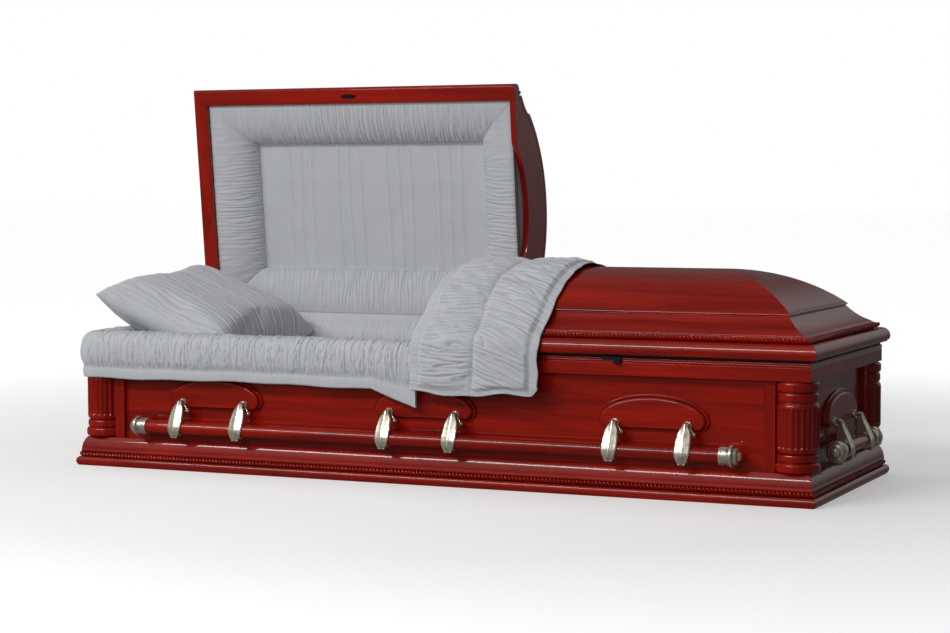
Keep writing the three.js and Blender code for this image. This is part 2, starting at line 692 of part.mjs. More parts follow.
// A handle plate with two lugs, standing on the front board; middle is its place along the side
function handlePlate(middle) {
  const half = PLATE_WIDTH / 2;
  const widest = PIVOT_HEIGHT + PLATE_WIDEST;
  const plateOutline = (inset) => [
    ...arc(half - 28, widest, 28 - inset, widest - PLATE_BOTTOM - inset, -80, 0, 2),
    ...arc(0, widest, half - inset, PLATE_TOP - widest - inset, 14, 166, 8),
    ...arc(-half + 28, widest, 28 - inset, widest - PLATE_BOTTOM - inset, 180, 260, 2),
  ];
  const face = -PANEL_W - SEAT;
  const edge = alongY(plateOutline(0), face - PLATE_EDGE, face);
  const body = alongY(plateOutline(PLATE_STEP), face - PLATE_BODY, face - 1);
  const pivotY = -PANEL_W - PIVOT_STANDOFF;
  const lug = (x) => {
    const ring = arc(pivotY, PIVOT_HEIGHT, EYE_RADIUS - 1, EYE_RADIUS - 1, 0, 315, 7);
    const knuckle = alongX(ring, x - LUG_WIDTH / 2, x + LUG_WIDTH / 2);
    const neckTop = PIVOT_HEIGHT + 5;
    const neck = box(x - LUG_WIDTH / 2, x + LUG_WIDTH / 2, pivotY, face - 5, PIVOT_HEIGHT - 5, neckTop);
    return knuckle.add(neck);
  };
  const whole = union(edge, body, lug(-ARM_PAIR / 2), lug(ARM_PAIR / 2));
  return whole.translate([middle, 0, 0]);
}

// A cast arm: a fork on the lug, a web widening down to the socket that holds the bar, and in
// front of them a leaf-shaped blade with a notched tail. Drawn hanging down from the pivot.
function handleArm(x) {
  const pivotY = -PANEL_W - PIVOT_STANDOFF;
  const lean = THREE.MathUtils.degToRad(ARM_LEAN);
  const out = BAR_STANDOFF - PIVOT_STANDOFF;
  const drop = PIVOT_HEIGHT - BAR_HEIGHT;
  const barY = drop * Math.sin(lean) - out * Math.cos(lean);
  const barZ = -drop * Math.cos(lean) - out * Math.sin(lean);
  const forkHalf = LUG_WIDTH / 2 + FORK_PLAY + FORK_EAR;
  const tip = barZ - ARM_TAIL;
  const right = [
    [forkHalf - 1, EYE_RADIUS],
    [forkHalf, -14],
    [BLADE_HALF * 0.82, barZ + 30],
    [BLADE_HALF, barZ + 4],
    [BLADE_HALF * 0.9, barZ - 13],
    [BLADE_HALF * 0.5, tip],
  ];
  const front = right.concat([[0, tip + 6]], right.map(([a, b]) => [-a, b]).reverse());
  const socket = BAR_RADIUS + SOCKET_WALL;
  const side = [
    [EYE_RADIUS - 5, EYE_RADIUS],
    [-EYE_RADIUS + 5, EYE_RADIUS],
    [-EYE_RADIUS, -18],
    [barY - socket, barZ + 8],
    [barY - socket + 1, barZ - 12],
    [-7, tip],
    [0, tip],
    [barY - 2, barZ - socket],
    [barY + socket - 6, barZ - 14],
    [barY + socket, barZ + 4],
    [barY + socket - 7, barZ + 16],
    [EYE_RADIUS, -16],
  ];
  const body = alongY(front, -60, 60).intersect(alongX(side, -40, 40));
  const holeRadius = BAR_RADIUS + BAR_PLAY;
  const hole = alongX(arc(barY, barZ, holeRadius, holeRadius, 0, 324, 9), -50, 50);
  const slot = box(-forkHalf + FORK_EAR, forkHalf - FORK_EAR, -40, 40, -EYE_RADIUS - 5, 30);
  return body
    .subtract(hole)
    .subtract(slot)
    .rotate([-ARM_LEAN, 0, 0])
    .translate([x, pivotY, PIVOT_HEIGHT]);
}

// A wooden bar with a stepped cap on each end, lying along X at the front
function handleBar(length) {
  const half = length / 2;
  const flange = half - CAP_DOME_LENGTH;
  const sleeve = flange - CAP_FLANGE_WIDTH;
  const sleeveEnd = sleeve - CAP_SLEEVE_LENGTH;
  const cap = [
    [0, half],
    [CAP_SLEEVE_RADIUS * 0.7, half - CAP_DOME_LENGTH * 0.22],
    [CAP_SLEEVE_RADIUS, flange + CAP_DOME_LENGTH * 0.14],
    [CAP_FLANGE_RADIUS, flange],
    [CAP_FLANGE_RADIUS, flange - CAP_FLANGE_WIDTH * 0.6],
    [CAP_SLEEVE_RADIUS, sleeve],
    [CAP_SLEEVE_RADIUS, sleeveEnd + 1],
    [BAR_RADIUS, sleeveEnd],
  ];
  const profile = cap.map(([r, h]) => [r, -h]).concat(cap.reverse());
  return turned(profile, 10).rotate([0, 90, 0]).translate([0, -PANEL_W - BAR_STANDOFF, BAR_HEIGHT]);
}

// Handles for one side, made at the front and then turned to the side they serve
function handles(name, pairs, length, turn, shift) {
  const made = [];
  const place = (s) => s.translate([0, shift, 0]).rotate([0, 0, turn]);
  pairs.forEach((middle, i) => {
    const number = pairs.length > 1 ? `_${i + 1}` : "";
    made.push(piece(`handle_plate_${name}${number}`, place(handlePlate(middle)), wood));
    [-1, 1].forEach((side, k) => {
      const arm = handleArm(middle + (side * ARM_PAIR) / 2);
      made.push(piece(`arm_${name}_${2 * i + k + 1}`, place(arm), brass));
    });
  });
  made.push(piece(`bar_${name}`, place(handleBar(length)), wood));
  return made;
}

const sidePairs = [-PAIR_PITCH, 0, PAIR_PITCH];
const casket = new THREE.Group();
casket.name = "casket";
casket.add(floorBoard(), ...boards(), baseMoulding());
casket.add(piece("base_rope", ropeRing(HALF_W - BASE_ROPE_INSET, BASE_ROPE_HEIGHT), wood));
casket.add(topRail(), gasket(), ...cornerPosts());
casket.add(mattress(), bedLining(), extendover(), pillow(), throwOver());
casket.add(...lids());
casket.add(piece("hinge_head", hinge(-1), brass), piece("hinge_foot", hinge(1), brass));
casket.add(piece("rail_latch", railLatch(HALF_L / 2), blackIron));
casket.add(...handles("front", sidePairs, SIDE_BAR, 0, 0));
casket.add(...handles("back", sidePairs, SIDE_BAR, 180, 0));
casket.add(...handles("foot", [0], END_BAR, 90, -HIP));
casket.add(...handles("head", [0], END_BAR, -90, -HIP));

export default casket;
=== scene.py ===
import json
from math import atan2, cos, pi, radians, sin, sqrt

import bmesh
import bpy
import numpy as np
from mathutils import Matrix, Vector


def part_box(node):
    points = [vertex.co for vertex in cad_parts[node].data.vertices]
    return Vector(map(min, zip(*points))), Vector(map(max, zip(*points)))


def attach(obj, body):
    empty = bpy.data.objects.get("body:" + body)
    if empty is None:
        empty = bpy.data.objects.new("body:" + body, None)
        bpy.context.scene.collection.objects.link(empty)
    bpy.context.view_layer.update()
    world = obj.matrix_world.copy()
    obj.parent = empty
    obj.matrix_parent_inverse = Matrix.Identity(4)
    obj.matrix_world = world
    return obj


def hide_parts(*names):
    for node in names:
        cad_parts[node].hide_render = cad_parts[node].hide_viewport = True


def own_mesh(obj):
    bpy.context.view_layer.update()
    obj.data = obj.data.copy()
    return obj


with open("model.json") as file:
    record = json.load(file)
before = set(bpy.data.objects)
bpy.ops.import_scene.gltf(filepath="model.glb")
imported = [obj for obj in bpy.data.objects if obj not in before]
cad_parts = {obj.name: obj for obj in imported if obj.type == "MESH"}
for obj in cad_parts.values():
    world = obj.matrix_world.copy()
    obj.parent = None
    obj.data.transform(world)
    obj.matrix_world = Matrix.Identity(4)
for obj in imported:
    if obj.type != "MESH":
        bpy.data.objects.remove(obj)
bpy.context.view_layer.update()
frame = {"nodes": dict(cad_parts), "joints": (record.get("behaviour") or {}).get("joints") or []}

# Camera
# The photograph was taken from the front, a little towards the foot end and just above the lid,
# through a long lens. These are the place and angles at which the edges of the case line up.
camera_place = (2.5415, -5.5642, 0.8145)
camera_turn = radians(24.54)
camera_down = radians(3.69)
camera_roll = radians(-0.2)
photo_width_px = 950
focal_px = 2235.5
sensor = 36.0

camera = bpy.data.objects.new("camera", bpy.data.cameras.new("camera"))
camera.data.sensor_width = sensor
camera.data.lens = sensor * focal_px / photo_width_px
camera.matrix_world = (
    Matrix.Translation(camera_place)
    @ Matrix.Rotation(camera_turn, 4, "Z")
    @ Matrix.Rotation(pi / 2 - camera_down, 4, "X")
    @ Matrix.Rotation(camera_roll, 4, "Z")
)
bpy.context.scene.collection.objects.link(camera)
bpy.context.scene.camera = camera

# Base moulding
# A mitred hardwood frame that the case stands on: a bullnose at the floor, a seat for the rope
# bead, then an ovolo up to the boards. Stained red and sprayed with high-gloss lacquer.
MM = 0.001
base_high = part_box("base_moulding")[1]
half_length = base_high.x
half_width = base_high.y
hip = half_length - half_width  # a mitred frame's half-length is its half-width plus this
board_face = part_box("side_board_back")[1].y
seat_gap = 0.3 * MM


def arc(cu, cv, ru, rv, start, end, steps):
    """Points on an ellipse from one angle to another, in degrees."""
    turns = [radians(start + (end - start) * i / steps) for i in range(steps + 1)]
    return [(cu + ru * cos(t), cv + rv * sin(t)) for t in turns]


def bend(a, b, c, steps):
    """Points on a quadratic curve from a to c, pulled towards b."""
    points = []
    for i in range(steps + 1):
        t = i / steps
        share = ((1 - t) ** 2, 2 * t * (1 - t), t * t)
        points.append(tuple(share[0] * a[k] + share[1] * b[k] + share[2] * c[k] for k in (0, 1)))
    return points


def put(tree, node, inputs):
    """Sets a node's inputs, each to a number or colour, or to what another node gives."""
    for key, value in inputs.items():
        if isinstance(value, bpy.types.NodeSocket):
            tree.links.new(value, node.inputs[key])
        else:
            node.inputs[key].default_value = value


def new_material(name):
    """A material, a function that sets its shader, one that adds a node, and its coordinates."""
    material = bpy.data.materials.new(name)
    material.use_nodes = True
    tree = material.node_tree
    shader = tree.nodes["Principled BSDF"]

    def add(kind, inputs=None, **settings):
        node = tree.nodes.new(kind)
        for key, value in settings.items():
            setattr(node, key, value)
        put(tree, node, inputs or {})
        return node

    place = add("ShaderNodeTexCoord").outputs["Object"]
    return material, lambda inputs: put(tree, shader, inputs), add, place


def ramp(add, value, dark, light, low=0.0, high=1.0):
    """A tone between two colours."""
    tone = add("ShaderNodeValToRGB", {"Fac": value})
    for element, position, colour in zip(tone.color_ramp.elements, (low, high), (dark, light)):
        element.position = position
        element.color = (*colour, 1)
    return tone.outputs["Color"]


def spread(add, value, from_low, from_high, to_low, to_high):
    """One range of values made another."""
    ends = {"From Min": from_low, "From Max": from_high, "To Min": to_low, "To Max": to_high}
    return add("ShaderNodeMapRange", {"Value": value, **ends}).outputs["Result"]


def times(add, colour, value):
    """A colour made darker or lighter by a value."""
    return add("ShaderNodeVectorMath", {0: colour, 1: value}, operation="MULTIPLY").outputs["Vector"]


def bumped(add, height, strength, distance):
    """A normal bent by a height."""
    node = add("ShaderNodeBump", {"Height": height, "Strength": strength, "Distance": distance})
    return node.outputs["Normal"]


def red_lacquer(name, grain, deep=(0.22, 0.0045, 0.001), bright=(0.45, 0.012, 0.0016)):
    """Red-stained hardwood under a thick gloss coat, its grain running along one axis, with painted shade
    darkening it in hollows, standing in partly for a dark glaze there."""
    material, shader, add, place = new_material(name)

    def streaks(length, across, detail, distortion):
        scale = tuple(length if axis == grain else across for axis in "xyz")
        scaled = add("ShaderNodeMapping", {"Vector": place, "Scale": scale}).outputs["Vector"]
        inputs = {"Vector": scaled, "Scale": 1.0, "Detail": detail, "Distortion": distortion}
        return add("ShaderNodeTexNoise", inputs).outputs["Fac"]

    figure = streaks(1.6, 22.0, 5.0, 0.9)
    grain_lines = streaks(5.0, 160.0, 4.0, 0.3)
    pores = streaks(28.0, 900.0, 2.0, 0.0)
    wave = streaks(6.0, 14.0, 1.0, 0.0)
    # Pointiness darkens concave places: painted shade in hollows and flute bottoms, partly standing for a
    # dark glaze there.
    curve = add("ShaderNodeNewGeometry").outputs["Pointiness"]
    tone = ramp(add, figure, deep, bright, 0.28, 0.68)
    lined = times(add, tone, spread(add, grain_lines, 0.3, 0.62, 0.8, 1.06))
    shader(
        {
            "Base Color": times(add, lined, spread(add, curve, 0.44, 0.5, 0.25, 1.0)),
            "Roughness": spread(add, pores, 0.3, 0.7, 0.3, 0.44),
            "Normal": bumped(add, pores, 0.05, 0.0003),
            "Coat Normal": bumped(add, wave, 0.05, 0.002),
            "Coat Weight": 0.9,
            "Coat Roughness": 0.03,
            "Coat IOR": 1.42,
            "Specular IOR Level": 0.12,
        }
    )
    return material


lacquer = {axis: red_lacquer(f"red_lacquer_{axis}", axis) for axis in "xyz"}


def mesh_piece(name, points, faces, materials, sharp=32.0, face_materials=None, place=None):
    """A mesh object, put in its place, with doubles merged, faces outwards and sharp edges
    marked."""
    if place:
        points = [place(p) for p in points]
    mesh = bpy.data.meshes.new(name)
    mesh.from_pydata([tuple(p) for p in points], [], [tuple(f) for f in faces])
    for material in materials:
        mesh.materials.append(material)
    if face_materials is not None:
        mesh.polygons.foreach_set("material_index", face_materials)
    tidy = bmesh.new()
    tidy.from_mesh(mesh)
    bmesh.ops.remove_doubles(tidy, verts=tidy.verts, dist=1e-6)
    bmesh.ops.dissolve_degenerate(tidy, edges=tidy.edges, dist=1e-7)
    bmesh.ops.recalc_face_normals(tidy, faces=tidy.faces)
    tidy.to_mesh(mesh)
    tidy.free()
    mesh.shade_smooth()
    mesh.set_sharp_from_angle(angle=radians(sharp))
    piece = bpy.data.objects.new(name, mesh)
    bpy.context.scene.collection.objects.link(piece)
    return piece


def mitred(name, profile, materials, side=0, cut=0.0, place=None, sharp=32.0):
    """A frame with a closed profile of (half-width, z), mitred at its corners. side is 0 for all
    round, or -1 or 1 for the part of it beyond the cut at the head or foot. Its long runs take
    the first material and its end runs the second."""
    rows = []
    for w, z in profile:
        if side:
            end = side * (hip + w)
            row = [(cut, -w, z), (end, -w, z), (end, w, z), (cut, w, z)]
        else:
            row = [(-hip - w, -w, z), (hip + w, -w, z), (hip + w, w, z), (-hip - w, w, z)]
        rows.append(row)
    points = [p for row in rows for p in row]
    faces, kinds = [], []
    count = len(rows)
    for i in range(count):
        j = (i + 1) % count
        for k in range(3 if side else 4):
            m = (k + 1) % 4
            faces.append((4 * i + k, 4 * i + m, 4 * j + m, 4 * j + k))
            kinds.append(k % 2)
    if side:
        faces.append([4 * i for i in range(count)])
        faces.append([4 * i + 3 for i in range(count)])
        kinds += [0, 0]
    return mesh_piece(name, points, faces, materials, sharp, kinds, place)


def eased(piece, width=0.8 * MM, angle=40.0):
    """Rounds a piece's sharp edges a little, as sanding does."""
    bevel = piece.modifiers.new("eased_edges", "BEVEL")
    bevel.width = width
    bevel.segments = 2
    bevel.limit_method = "ANGLE"
    bevel.angle_limit = radians(angle)
    bevel.harden_normals = True
    return piece


def fitted(piece, body, slot_name, *nodes):
    """Sets a piece on its body in place of its solids."""
    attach(piece, body)
    if nodes:
        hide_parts(*nodes)
    return piece


rope_low, rope_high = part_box("base_rope")
rope_radius = (rope_high.z - rope_low.z) / 2
rope_z = (rope_high.z + rope_low.z) / 2
base_rope_w = rope_high.y - rope_radius
seat_w = base_rope_w - rope_radius - seat_gap
lip_w = half_width - 11 * MM
base_top = base_high.z
base_profile = [
    (board_face + seat_gap, 0.0),
    (half_width - 4 * MM, 0.0),
    *arc(half_width - 9 * MM, 12 * MM, 9 * MM, 12 * MM, -60, 75, 16),
    (half_width - 10 * MM, rope_low.z - seat_gap),
    (seat_w, rope_low.z - seat_gap),
    (seat_w, rope_high.z + seat_gap),
    (lip_w, rope_high.z + seat_gap),
    (lip_w, rope_high.z + 5 * MM),
    *bend(
        (lip_w - 1 * MM, rope_high.z + 7 * MM),
        (lip_w - 2 * MM, rope_high.z + 28 * MM),
        (half_width - 25 * MM, base_top),
        14,
    ),
    (board_face + seat_gap, base_top),
]
base_moulding = mitred("base_moulding_turned", base_profile, [lacquer["x"], lacquer["y"]])
fitted(eased(base_moulding), "case", "red_lacquered_wood", "base_moulding")

# Rope beads
# A carved twist glued into the seat of each moulding: short slanted strands, one after another,
# round the base and round each lid. Made of the same wood and lacquered with it.
strand_pitch = 10.5 * MM
strand_slant = radians(-46)


def skin(rows, columns, around=True, first=0):
    """The faces of rows of points with as many in each, joined round each row or not."""
    faces = []
    for i in range(rows - 1):
        for k in range(columns if around else columns - 1):
            a = first + i * columns + k
            b = first + i * columns + (k + 1) % columns
            faces.append((a, b, b + columns, a + columns))
    return faces


def lofted(rings):
    """Points and faces of a skin over closed rings, capped at both ends."""
    count = len(rings[0])
    faces = skin(len(rings), count)
    faces.append(range(count))
    faces.append(range((len(rings) - 1) * count, len(rings) * count))
    return [tuple(p) for ring in rings for p in ring], faces


def rope_strand():
    """One strand of the twist, a slim oval bead, lying along Z."""
    rings, sides = 7, 8
    turned = []
    for r in range(rings + 1):
        turn = pi * r / rings
        wide = sin(turn)
        around = [2 * pi * s / sides for s in range(sides)]
        turned.append([(wide * cos(a), wide * sin(a), -cos(turn)) for a in around])
    return mesh_piece("rope_strand", *lofted(turned), [], sharp=180)


def rope_tree(strand, material):
    """Geometry Nodes: strands set along a path at a pitch, with a slant, round a thin core."""
    tree = bpy.data.node_groups.new("rope_twist", "GeometryNodeTree")
    face = tree.interface
    face.new_socket("Path", in_out="INPUT", socket_type="NodeSocketGeometry")
    for label in ("Pitch", "Radius", "Slant"):
        face.new_socket(label, in_out="INPUT", socket_type="NodeSocketFloat")
    face.new_socket("Rope", in_out="OUTPUT", socket_type="NodeSocketGeometry")
    new = tree.nodes.new
    given, out = new("NodeGroupInput"), new("NodeGroupOutput")
    curve = new("GeometryNodeMeshToCurve")
    spots = new("GeometryNodeCurveToPoints")
    spots.mode = "LENGTH"
    strands = new("GeometryNodeInstanceOnPoints")
    source = new("GeometryNodeObjectInfo")
    source.inputs["Object"].default_value = strand
    slant = new("FunctionNodeEulerToRotation")
    lean = new("ShaderNodeCombineXYZ")
    turn = new("FunctionNodeRotateRotation")
    turn.rotation_space = "LOCAL"
    size = new("ShaderNodeCombineXYZ")
    thin, long = new("ShaderNodeMath"), new("ShaderNodeMath")
    thin.operation = long.operation = "MULTIPLY"
    thin.inputs[1].default_value = 0.42
    long.inputs[1].default_value = 1.3
    realize, paint = new("GeometryNodeRealizeInstances"), new("GeometryNodeSetMaterial")
    paint.inputs["Material"].default_value = material
    smooth = new("GeometryNodeSetShadeSmooth")
    for giver, given_name, taker, taken_name in (
        (given, "Path", curve, "Mesh"),
        (curve, "Curve", spots, "Curve"),
        (given, "Pitch", spots, "Length"),
        (spots, "Points", strands, "Points"),
        (source, "Geometry", strands, "Instance"),
        (given, "Slant", lean, "X"),
        (lean, "Vector", slant, "Euler"),
        (spots, "Rotation", turn, "Rotation"),
        (slant, "Rotation", turn, "Rotate By"),
        (turn, "Rotation", strands, "Rotation"),
        (given, "Pitch", thin, 0),
        (given, "Radius", long, 0),
        (given, "Radius", size, "X"),
        (thin, "Value", size, "Y"),
        (long, "Value", size, "Z"),
        (size, "Vector", strands, "Scale"),
        (strands, "Instances", realize, "Geometry"),
        (realize, "Geometry", smooth, "Geometry"),
        (smooth, "Geometry", paint, "Geometry"),
        (paint, "Geometry", out, "Rope"),
    ):
        tree.links.new(giver.outputs[given_name], taker.inputs[taken_name])
    return tree


strand = rope_strand()
twist = rope_tree(strand, lacquer["x"])


def as_modified(piece):
    """A piece's mesh with its modifiers applied."""
    depsgraph = bpy.context.evaluated_depsgraph_get()
    return bpy.data.meshes.new_from_object(piece.evaluated_get(depsgraph), depsgraph=depsgraph)


def made_by_nodes(name, points, edges, tree, values, place=None):
    """Runs a node tree on a path, and keeps its result as a plain mesh."""
    path = bpy.data.meshes.new(name + "_path")
    path.from_pydata(points, edges, [])
    source = bpy.data.objects.new(name + "_path", path)
    bpy.context.scene.collection.objects.link(source)
    modifier = source.modifiers.new(name, "NODES")
    modifier.node_group = tree
    for socket in tree.interface.items_tree:
        if socket.in_out == "INPUT" and socket.name in values:
            modifier[socket.identifier] = values[socket.name]
    mesh = as_modified(source)
    bpy.data.objects.remove(source)
    if place:
        mesh.vertices.foreach_set("co", np.array([place(v.co) for v in mesh.vertices]).ravel())
    mesh.shade_smooth()
    made = bpy.data.objects.new(name, mesh)
    mesh.name = name
    bpy.context.scene.collection.objects.link(made)
    return made


def rope(name, w, z, side=0, cut=0.0, place=None):
    """A rope bead along a mitred frame's path."""
    values = {"Pitch": strand_pitch, "Radius": rope_radius * 0.93, "Slant": strand_slant}
    if side:
        end = side * (hip + w)
        points = [(cut, -w, z), (end, -w, z), (end, w, z), (cut, w, z)]
        edges = [(0, 1), (1, 2), (2, 3)]
    else:
        points = [(-hip - w, -w, z), (hip + w, -w, z), (hip + w, w, z), (-hip - w, w, z)]
        edges = [(0, 1), (1, 2), (2, 3), (3, 0)]
    return made_by_nodes(name, points, edges, twist, values, place)


base_rope = rope("base_rope_twist", base_rope_w, rope_z)
fitted(base_rope, "case", "red_lacquered_wood", "base_rope")

# Floor, side boards and end boards
# Flat glued-up hardwood boards inside the frame; their solids are already right, so they only
# take the lacquer, with the grain along each board.
for node, axis in (
    ("floor_board", "x"),
    ("side_board_front", "x"),
    ("side_board_back", "x"),
    ("end_board_foot", "y"),
    ("end_board_head", "y"),
):
    board = frame["nodes"][node]
    board.data.materials.clear()
    board.data.materials.append(lacquer[axis])

# Top rail
# A mitred frame on top of the boards, with a quirk and a small lip along its upper edge, where
# the lids come down.
rail_low, rail_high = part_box("top_rail")
rail_inner_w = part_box("end_board_foot")[0].x - hip
lip = 1.2 * MM
rail_w = rail_high.y - lip
lip_z = rail_high.z - 11 * MM
rail_profile = [
    (rail_inner_w, rail_low.z),
    (rail_w - 2 * MM, rail_low.z),
    *bend(
        (rail_w - 1 * MM, rail_low.z + 0.4 * MM),
        (rail_w, rail_low.z + 1 * MM),
        (rail_w, rail_low.z + 3 * MM),
        4,
    ),
    (rail_w, lip_z - 1 * MM),
    (rail_w - 1.5 * MM, lip_z),
    *arc(rail_w - 1.8 * MM, lip_z + 3.5 * MM, 3 * MM, 3 * MM, -70, 80, 8),
    (rail_w + 0.2 * MM, lip_z + 7.5 * MM),
    (rail_w, rail_high.z - 1 * MM),
    (rail_w - 1 * MM, rail_high.z),
    (rail_inner_w, rail_high.z),
]
top_rail = mitred("top_rail_moulded", rail_profile, [lacquer["x"], lacquer["y"]])
fitted(eased(top_rail), "case", "red_lacquered_wood", "top_rail")


# Rail gasket
# The black rubber strip on the rail that the lids close on. Extruded, so it keeps its solid and
# takes a matt rubber with a faint grain.
def noise(add, place, scale, detail):
    """Plain noise."""
    return add("ShaderNodeTexNoise", {"Vector": place, "Scale": scale, "Detail": detail}).outputs["Fac"]


def mottled(name, scale, detail, dark, light, **finish):
    """A plain finish whose tone varies a little, with its shader's other settings."""
    material, shader, add, place = new_material(name)
    skin_noise = noise(add, place, scale, detail)
    inputs = {"Base Color": ramp(add, skin_noise, dark, light)}
    inputs["Roughness"] = finish["rough"]
    if "bump" in finish:
        inputs["Normal"] = bumped(add, skin_noise, *finish["bump"])
    shader(inputs)
    return material, shader, add, place


rubber = mottled(
    "black_rubber", 260.0, 4.0, (0.004,) * 3, (0.016, 0.016, 0.017), rough=0.62, bump=(0.3, 0.0004)
)[0]
gasket = frame["nodes"]["rail_gasket"]
gasket.data.materials.clear()
gasket.data.materials.append(rubber)

# Corner posts
# Turned half-columns standing on the base moulding at each corner: two rings, a shaft with
# fourteen hollow flutes, and two more rings, with a flat stile beside each edge of the column.
post_low, post_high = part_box("corner_post_front_foot")
groove_depth = 8 * MM
post_radius = 53 * MM
post_reach = half_length - (post_high.x - 3 * MM)
post_x = half_length - post_reach - post_radius
post_y = post_x - hip
flute_count = 14
flute_depth = 3.4 * MM
post_start, post_end = -152.0, 62.0


def ring_height(z, low, high, radius, groove):
    """A rounded ring's radius at a height, between two grooves."""
    middle, half = (low + high) / 2, (high - low) / 2
    if abs(z - middle) >= half:
        return groove
    return groove + (radius - groove) * (1 - ((z - middle) / half) ** 4) ** 0.5


def post_radius_at(z):
    """The turned radius of a post at a height above its foot, before it is fluted."""
    height = post_high.z - post_low.z
    groove = post_radius - groove_depth
    rings = (
        (0.0, 26 * MM, post_radius + 3 * MM),
        (26 * MM, 47 * MM, post_radius - 1 * MM),
        (47 * MM, height - 52 * MM, post_radius),
        (height - 52 * MM, height - 27 * MM, post_radius - 2 * MM),
        (height - 27 * MM, height, post_radius),
    )
    for number, (low, high, radius) in enumerate(rings):
        if low <= z <= high:
            if number != 2:
                return ring_height(z, low, high, radius, groove)
            rounding = 15 * MM
            edge = min(z - low, high - z)
            if edge >= rounding:
                return radius
            return groove + (radius - groove) * sqrt(1 - (1 - edge / rounding) ** 2)
    return groove


def flute_at(turn, z):
    """How far the flutes cut into the shaft at an angle and a height above the foot."""
    low, high = 60 * MM, post_high.z - post_low.z - 65 * MM
    if not low < z < high:
        return 0.0
    share = (turn - post_start) / (post_end - post_start) * flute_count
    across = (share % 1.0 - 0.5) * 2
    ends = min(1.0, min(z - low, high - z) / (6 * MM))
    hollow = max(0.0, 1 - (1 - ends) ** 2 - (across / 0.82) ** 2)
    return flute_depth * sqrt(hollow)


def joined(parts):
    """Several pairs of points and faces as one."""
    points, faces = [], []
    for new_points, new_faces in parts:
        first = len(points)
        points += new_points
        faces += [[first + n for n in face] for face in new_faces]
    return points, faces


def corner_post(name, x_side, y_side):
    """A post at one corner, its flutes and rings in the mesh, closed over the corner behind it."""
    turns = np.linspace(post_start, post_end, flute_count * 8 + 1)
    heights = np.unique(
        np.concatenate(
            [
                np.linspace(0, 47 * MM, 23),
                np.linspace(47 * MM, 70 * MM, 14),
                np.linspace(70 * MM, 150 * MM, 6),
                np.linspace(150 * MM, 173 * MM, 12),
                np.linspace(173 * MM, post_high.z - post_low.z, 24),
            ]
        )
    )
    board_x = board_face + hip + seat_gap
    board_y = -board_face - seat_gap
    rows = []
    for z in heights:
        row = []
        for turn in turns:
            r = post_radius_at(z) - flute_at(turn, z)
            row.append((post_x + r * cos(radians(turn)), -post_y + r * sin(radians(turn))))
        row[0] = (row[0][0], min(row[0][1], board_y - 0.2 * MM))
        row[-1] = (max(row[-1][0], board_x + 0.2 * MM), row[-1][1])
        row += [(board_x, row[-1][1]), (board_x, board_y), (row[0][0], board_y)]
        rows.append([(x, y, post_low.z + z) for x, y in row])
    parts = [lofted(rows)]
    stile, proud, tucked_in = 24 * MM, 12 * MM, 5 * MM
    near_x = post_x - post_radius - stile
    far_y = -post_y + post_radius + stile
    for x0, x1, y0, y1 in (
        (near_x, near_x + stile + tucked_in, -board_face - proud, board_y),
        (board_x, board_face + hip + proud, far_y - stile - tucked_in, far_y),
    ):
        corners = ((x0, y0), (x1, y0), (x1, y1), (x0, y1))
        parts.append(lofted([[(x, y, z) for x, y in corners] for z in (post_low.z, post_high.z)]))
    points, faces = joined(parts)
    points = [(x * x_side, -y * y_side, z) for x, y, z in points]
    return mesh_piece(name, points, faces, [lacquer["z"]], sharp=38)


for x_name, x_side in (("head", -1), ("foot", 1)):
    for y_name, y_side in (("front", -1), ("back", 1)):
        label = f"corner_post_{y_name}_{x_name}"
        post = corner_post(label + "_fluted", x_side, y_side)
        fitted(eased(post, 0.5 * MM, 60), "case", "red_lacquered_wood", label)

# Lids
# Each half-lid is a bullnosed rim, a rope bead, and a domed top that rises from a cove and is
# hipped at its end. A header board with a shallow arch closes it at the cut.
foot_rim_low, foot_rim_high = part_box("foot_lid_rim")
foot_top_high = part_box("foot_lid_top")[1]
cut_gap = foot_rim_low.x
lid_bottom = foot_rim_low.z
rim_top = foot_rim_high.z
rim_inner_w = half_width - 47 * MM
lid_wall = 12 * MM
cove_foot_w = half_width - 36 * MM
dome_w = half_width - 95 * MM
dome_z = lid_bottom + 107 * MM
ridge_z = foot_top_high.z
hinge_joint = next(j for j in frame["joints"] if j["name"] == "head_lid_close")
hinge_y, hinge_z = hinge_joint["pos_m"][1:]
open_turn = Matrix.Rotation(radians(-84), 4, "X")


def as_opened(point):
    """Where a point of the head lid, drawn shut, goes with the lid open."""
    x, y, z = point
    turned = open_turn @ Vector((x, y - hinge_y, z - hinge_z))
    return (turned.x, turned.y + hinge_y, turned.z + hinge_z)


def dome(width, low, high, steps):
    """A shallow arc from the foot of the dome up to its ridge."""
    rise = high - low
    radius = (width**2 + rise**2) / (2 * rise)
    widths = [width * (1 - i / steps) for i in range(steps + 1)]
    return [(w, high - radius + sqrt(radius**2 - w**2)) for w in widths]


outer_outline = [
    (cove_foot_w, rim_top + seat_gap),
    (cove_foot_w, rim_top + 12 * MM),
    *arc(cove_foot_w - 2 * MM, rim_top + 14 * MM, 2 * MM, 2 * MM, 0, 90, 4),
    (cove_foot_w - 5 * MM, rim_top + 16.5 * MM),
    (cove_foot_w - 5.5 * MM, rim_top + 19 * MM),
    *bend(
        (cove_foot_w - 6.5 * MM, rim_top + 19.5 * MM),
        (cove_foot_w - 35 * MM, rim_top + 31 * MM),
        (dome_w - 2 * MM, dome_z - 7 * MM),
        14,
    ),
    (dome_w - 1.5 * MM, dome_z - 4 * MM),
    (dome_w + 2 * MM, dome_z - 4 * MM),
    *bend(
        (dome_w + 2.3 * MM, dome_z - 2.5 * MM),
        (dome_w + 2 * MM, dome_z - 0.3 * MM),
        (dome_w - 1 * MM, dome_z + 0.6 * MM),
        4,
    ),
    *dome(dome_w, dome_z, ridge_z, 30)[1:],
]
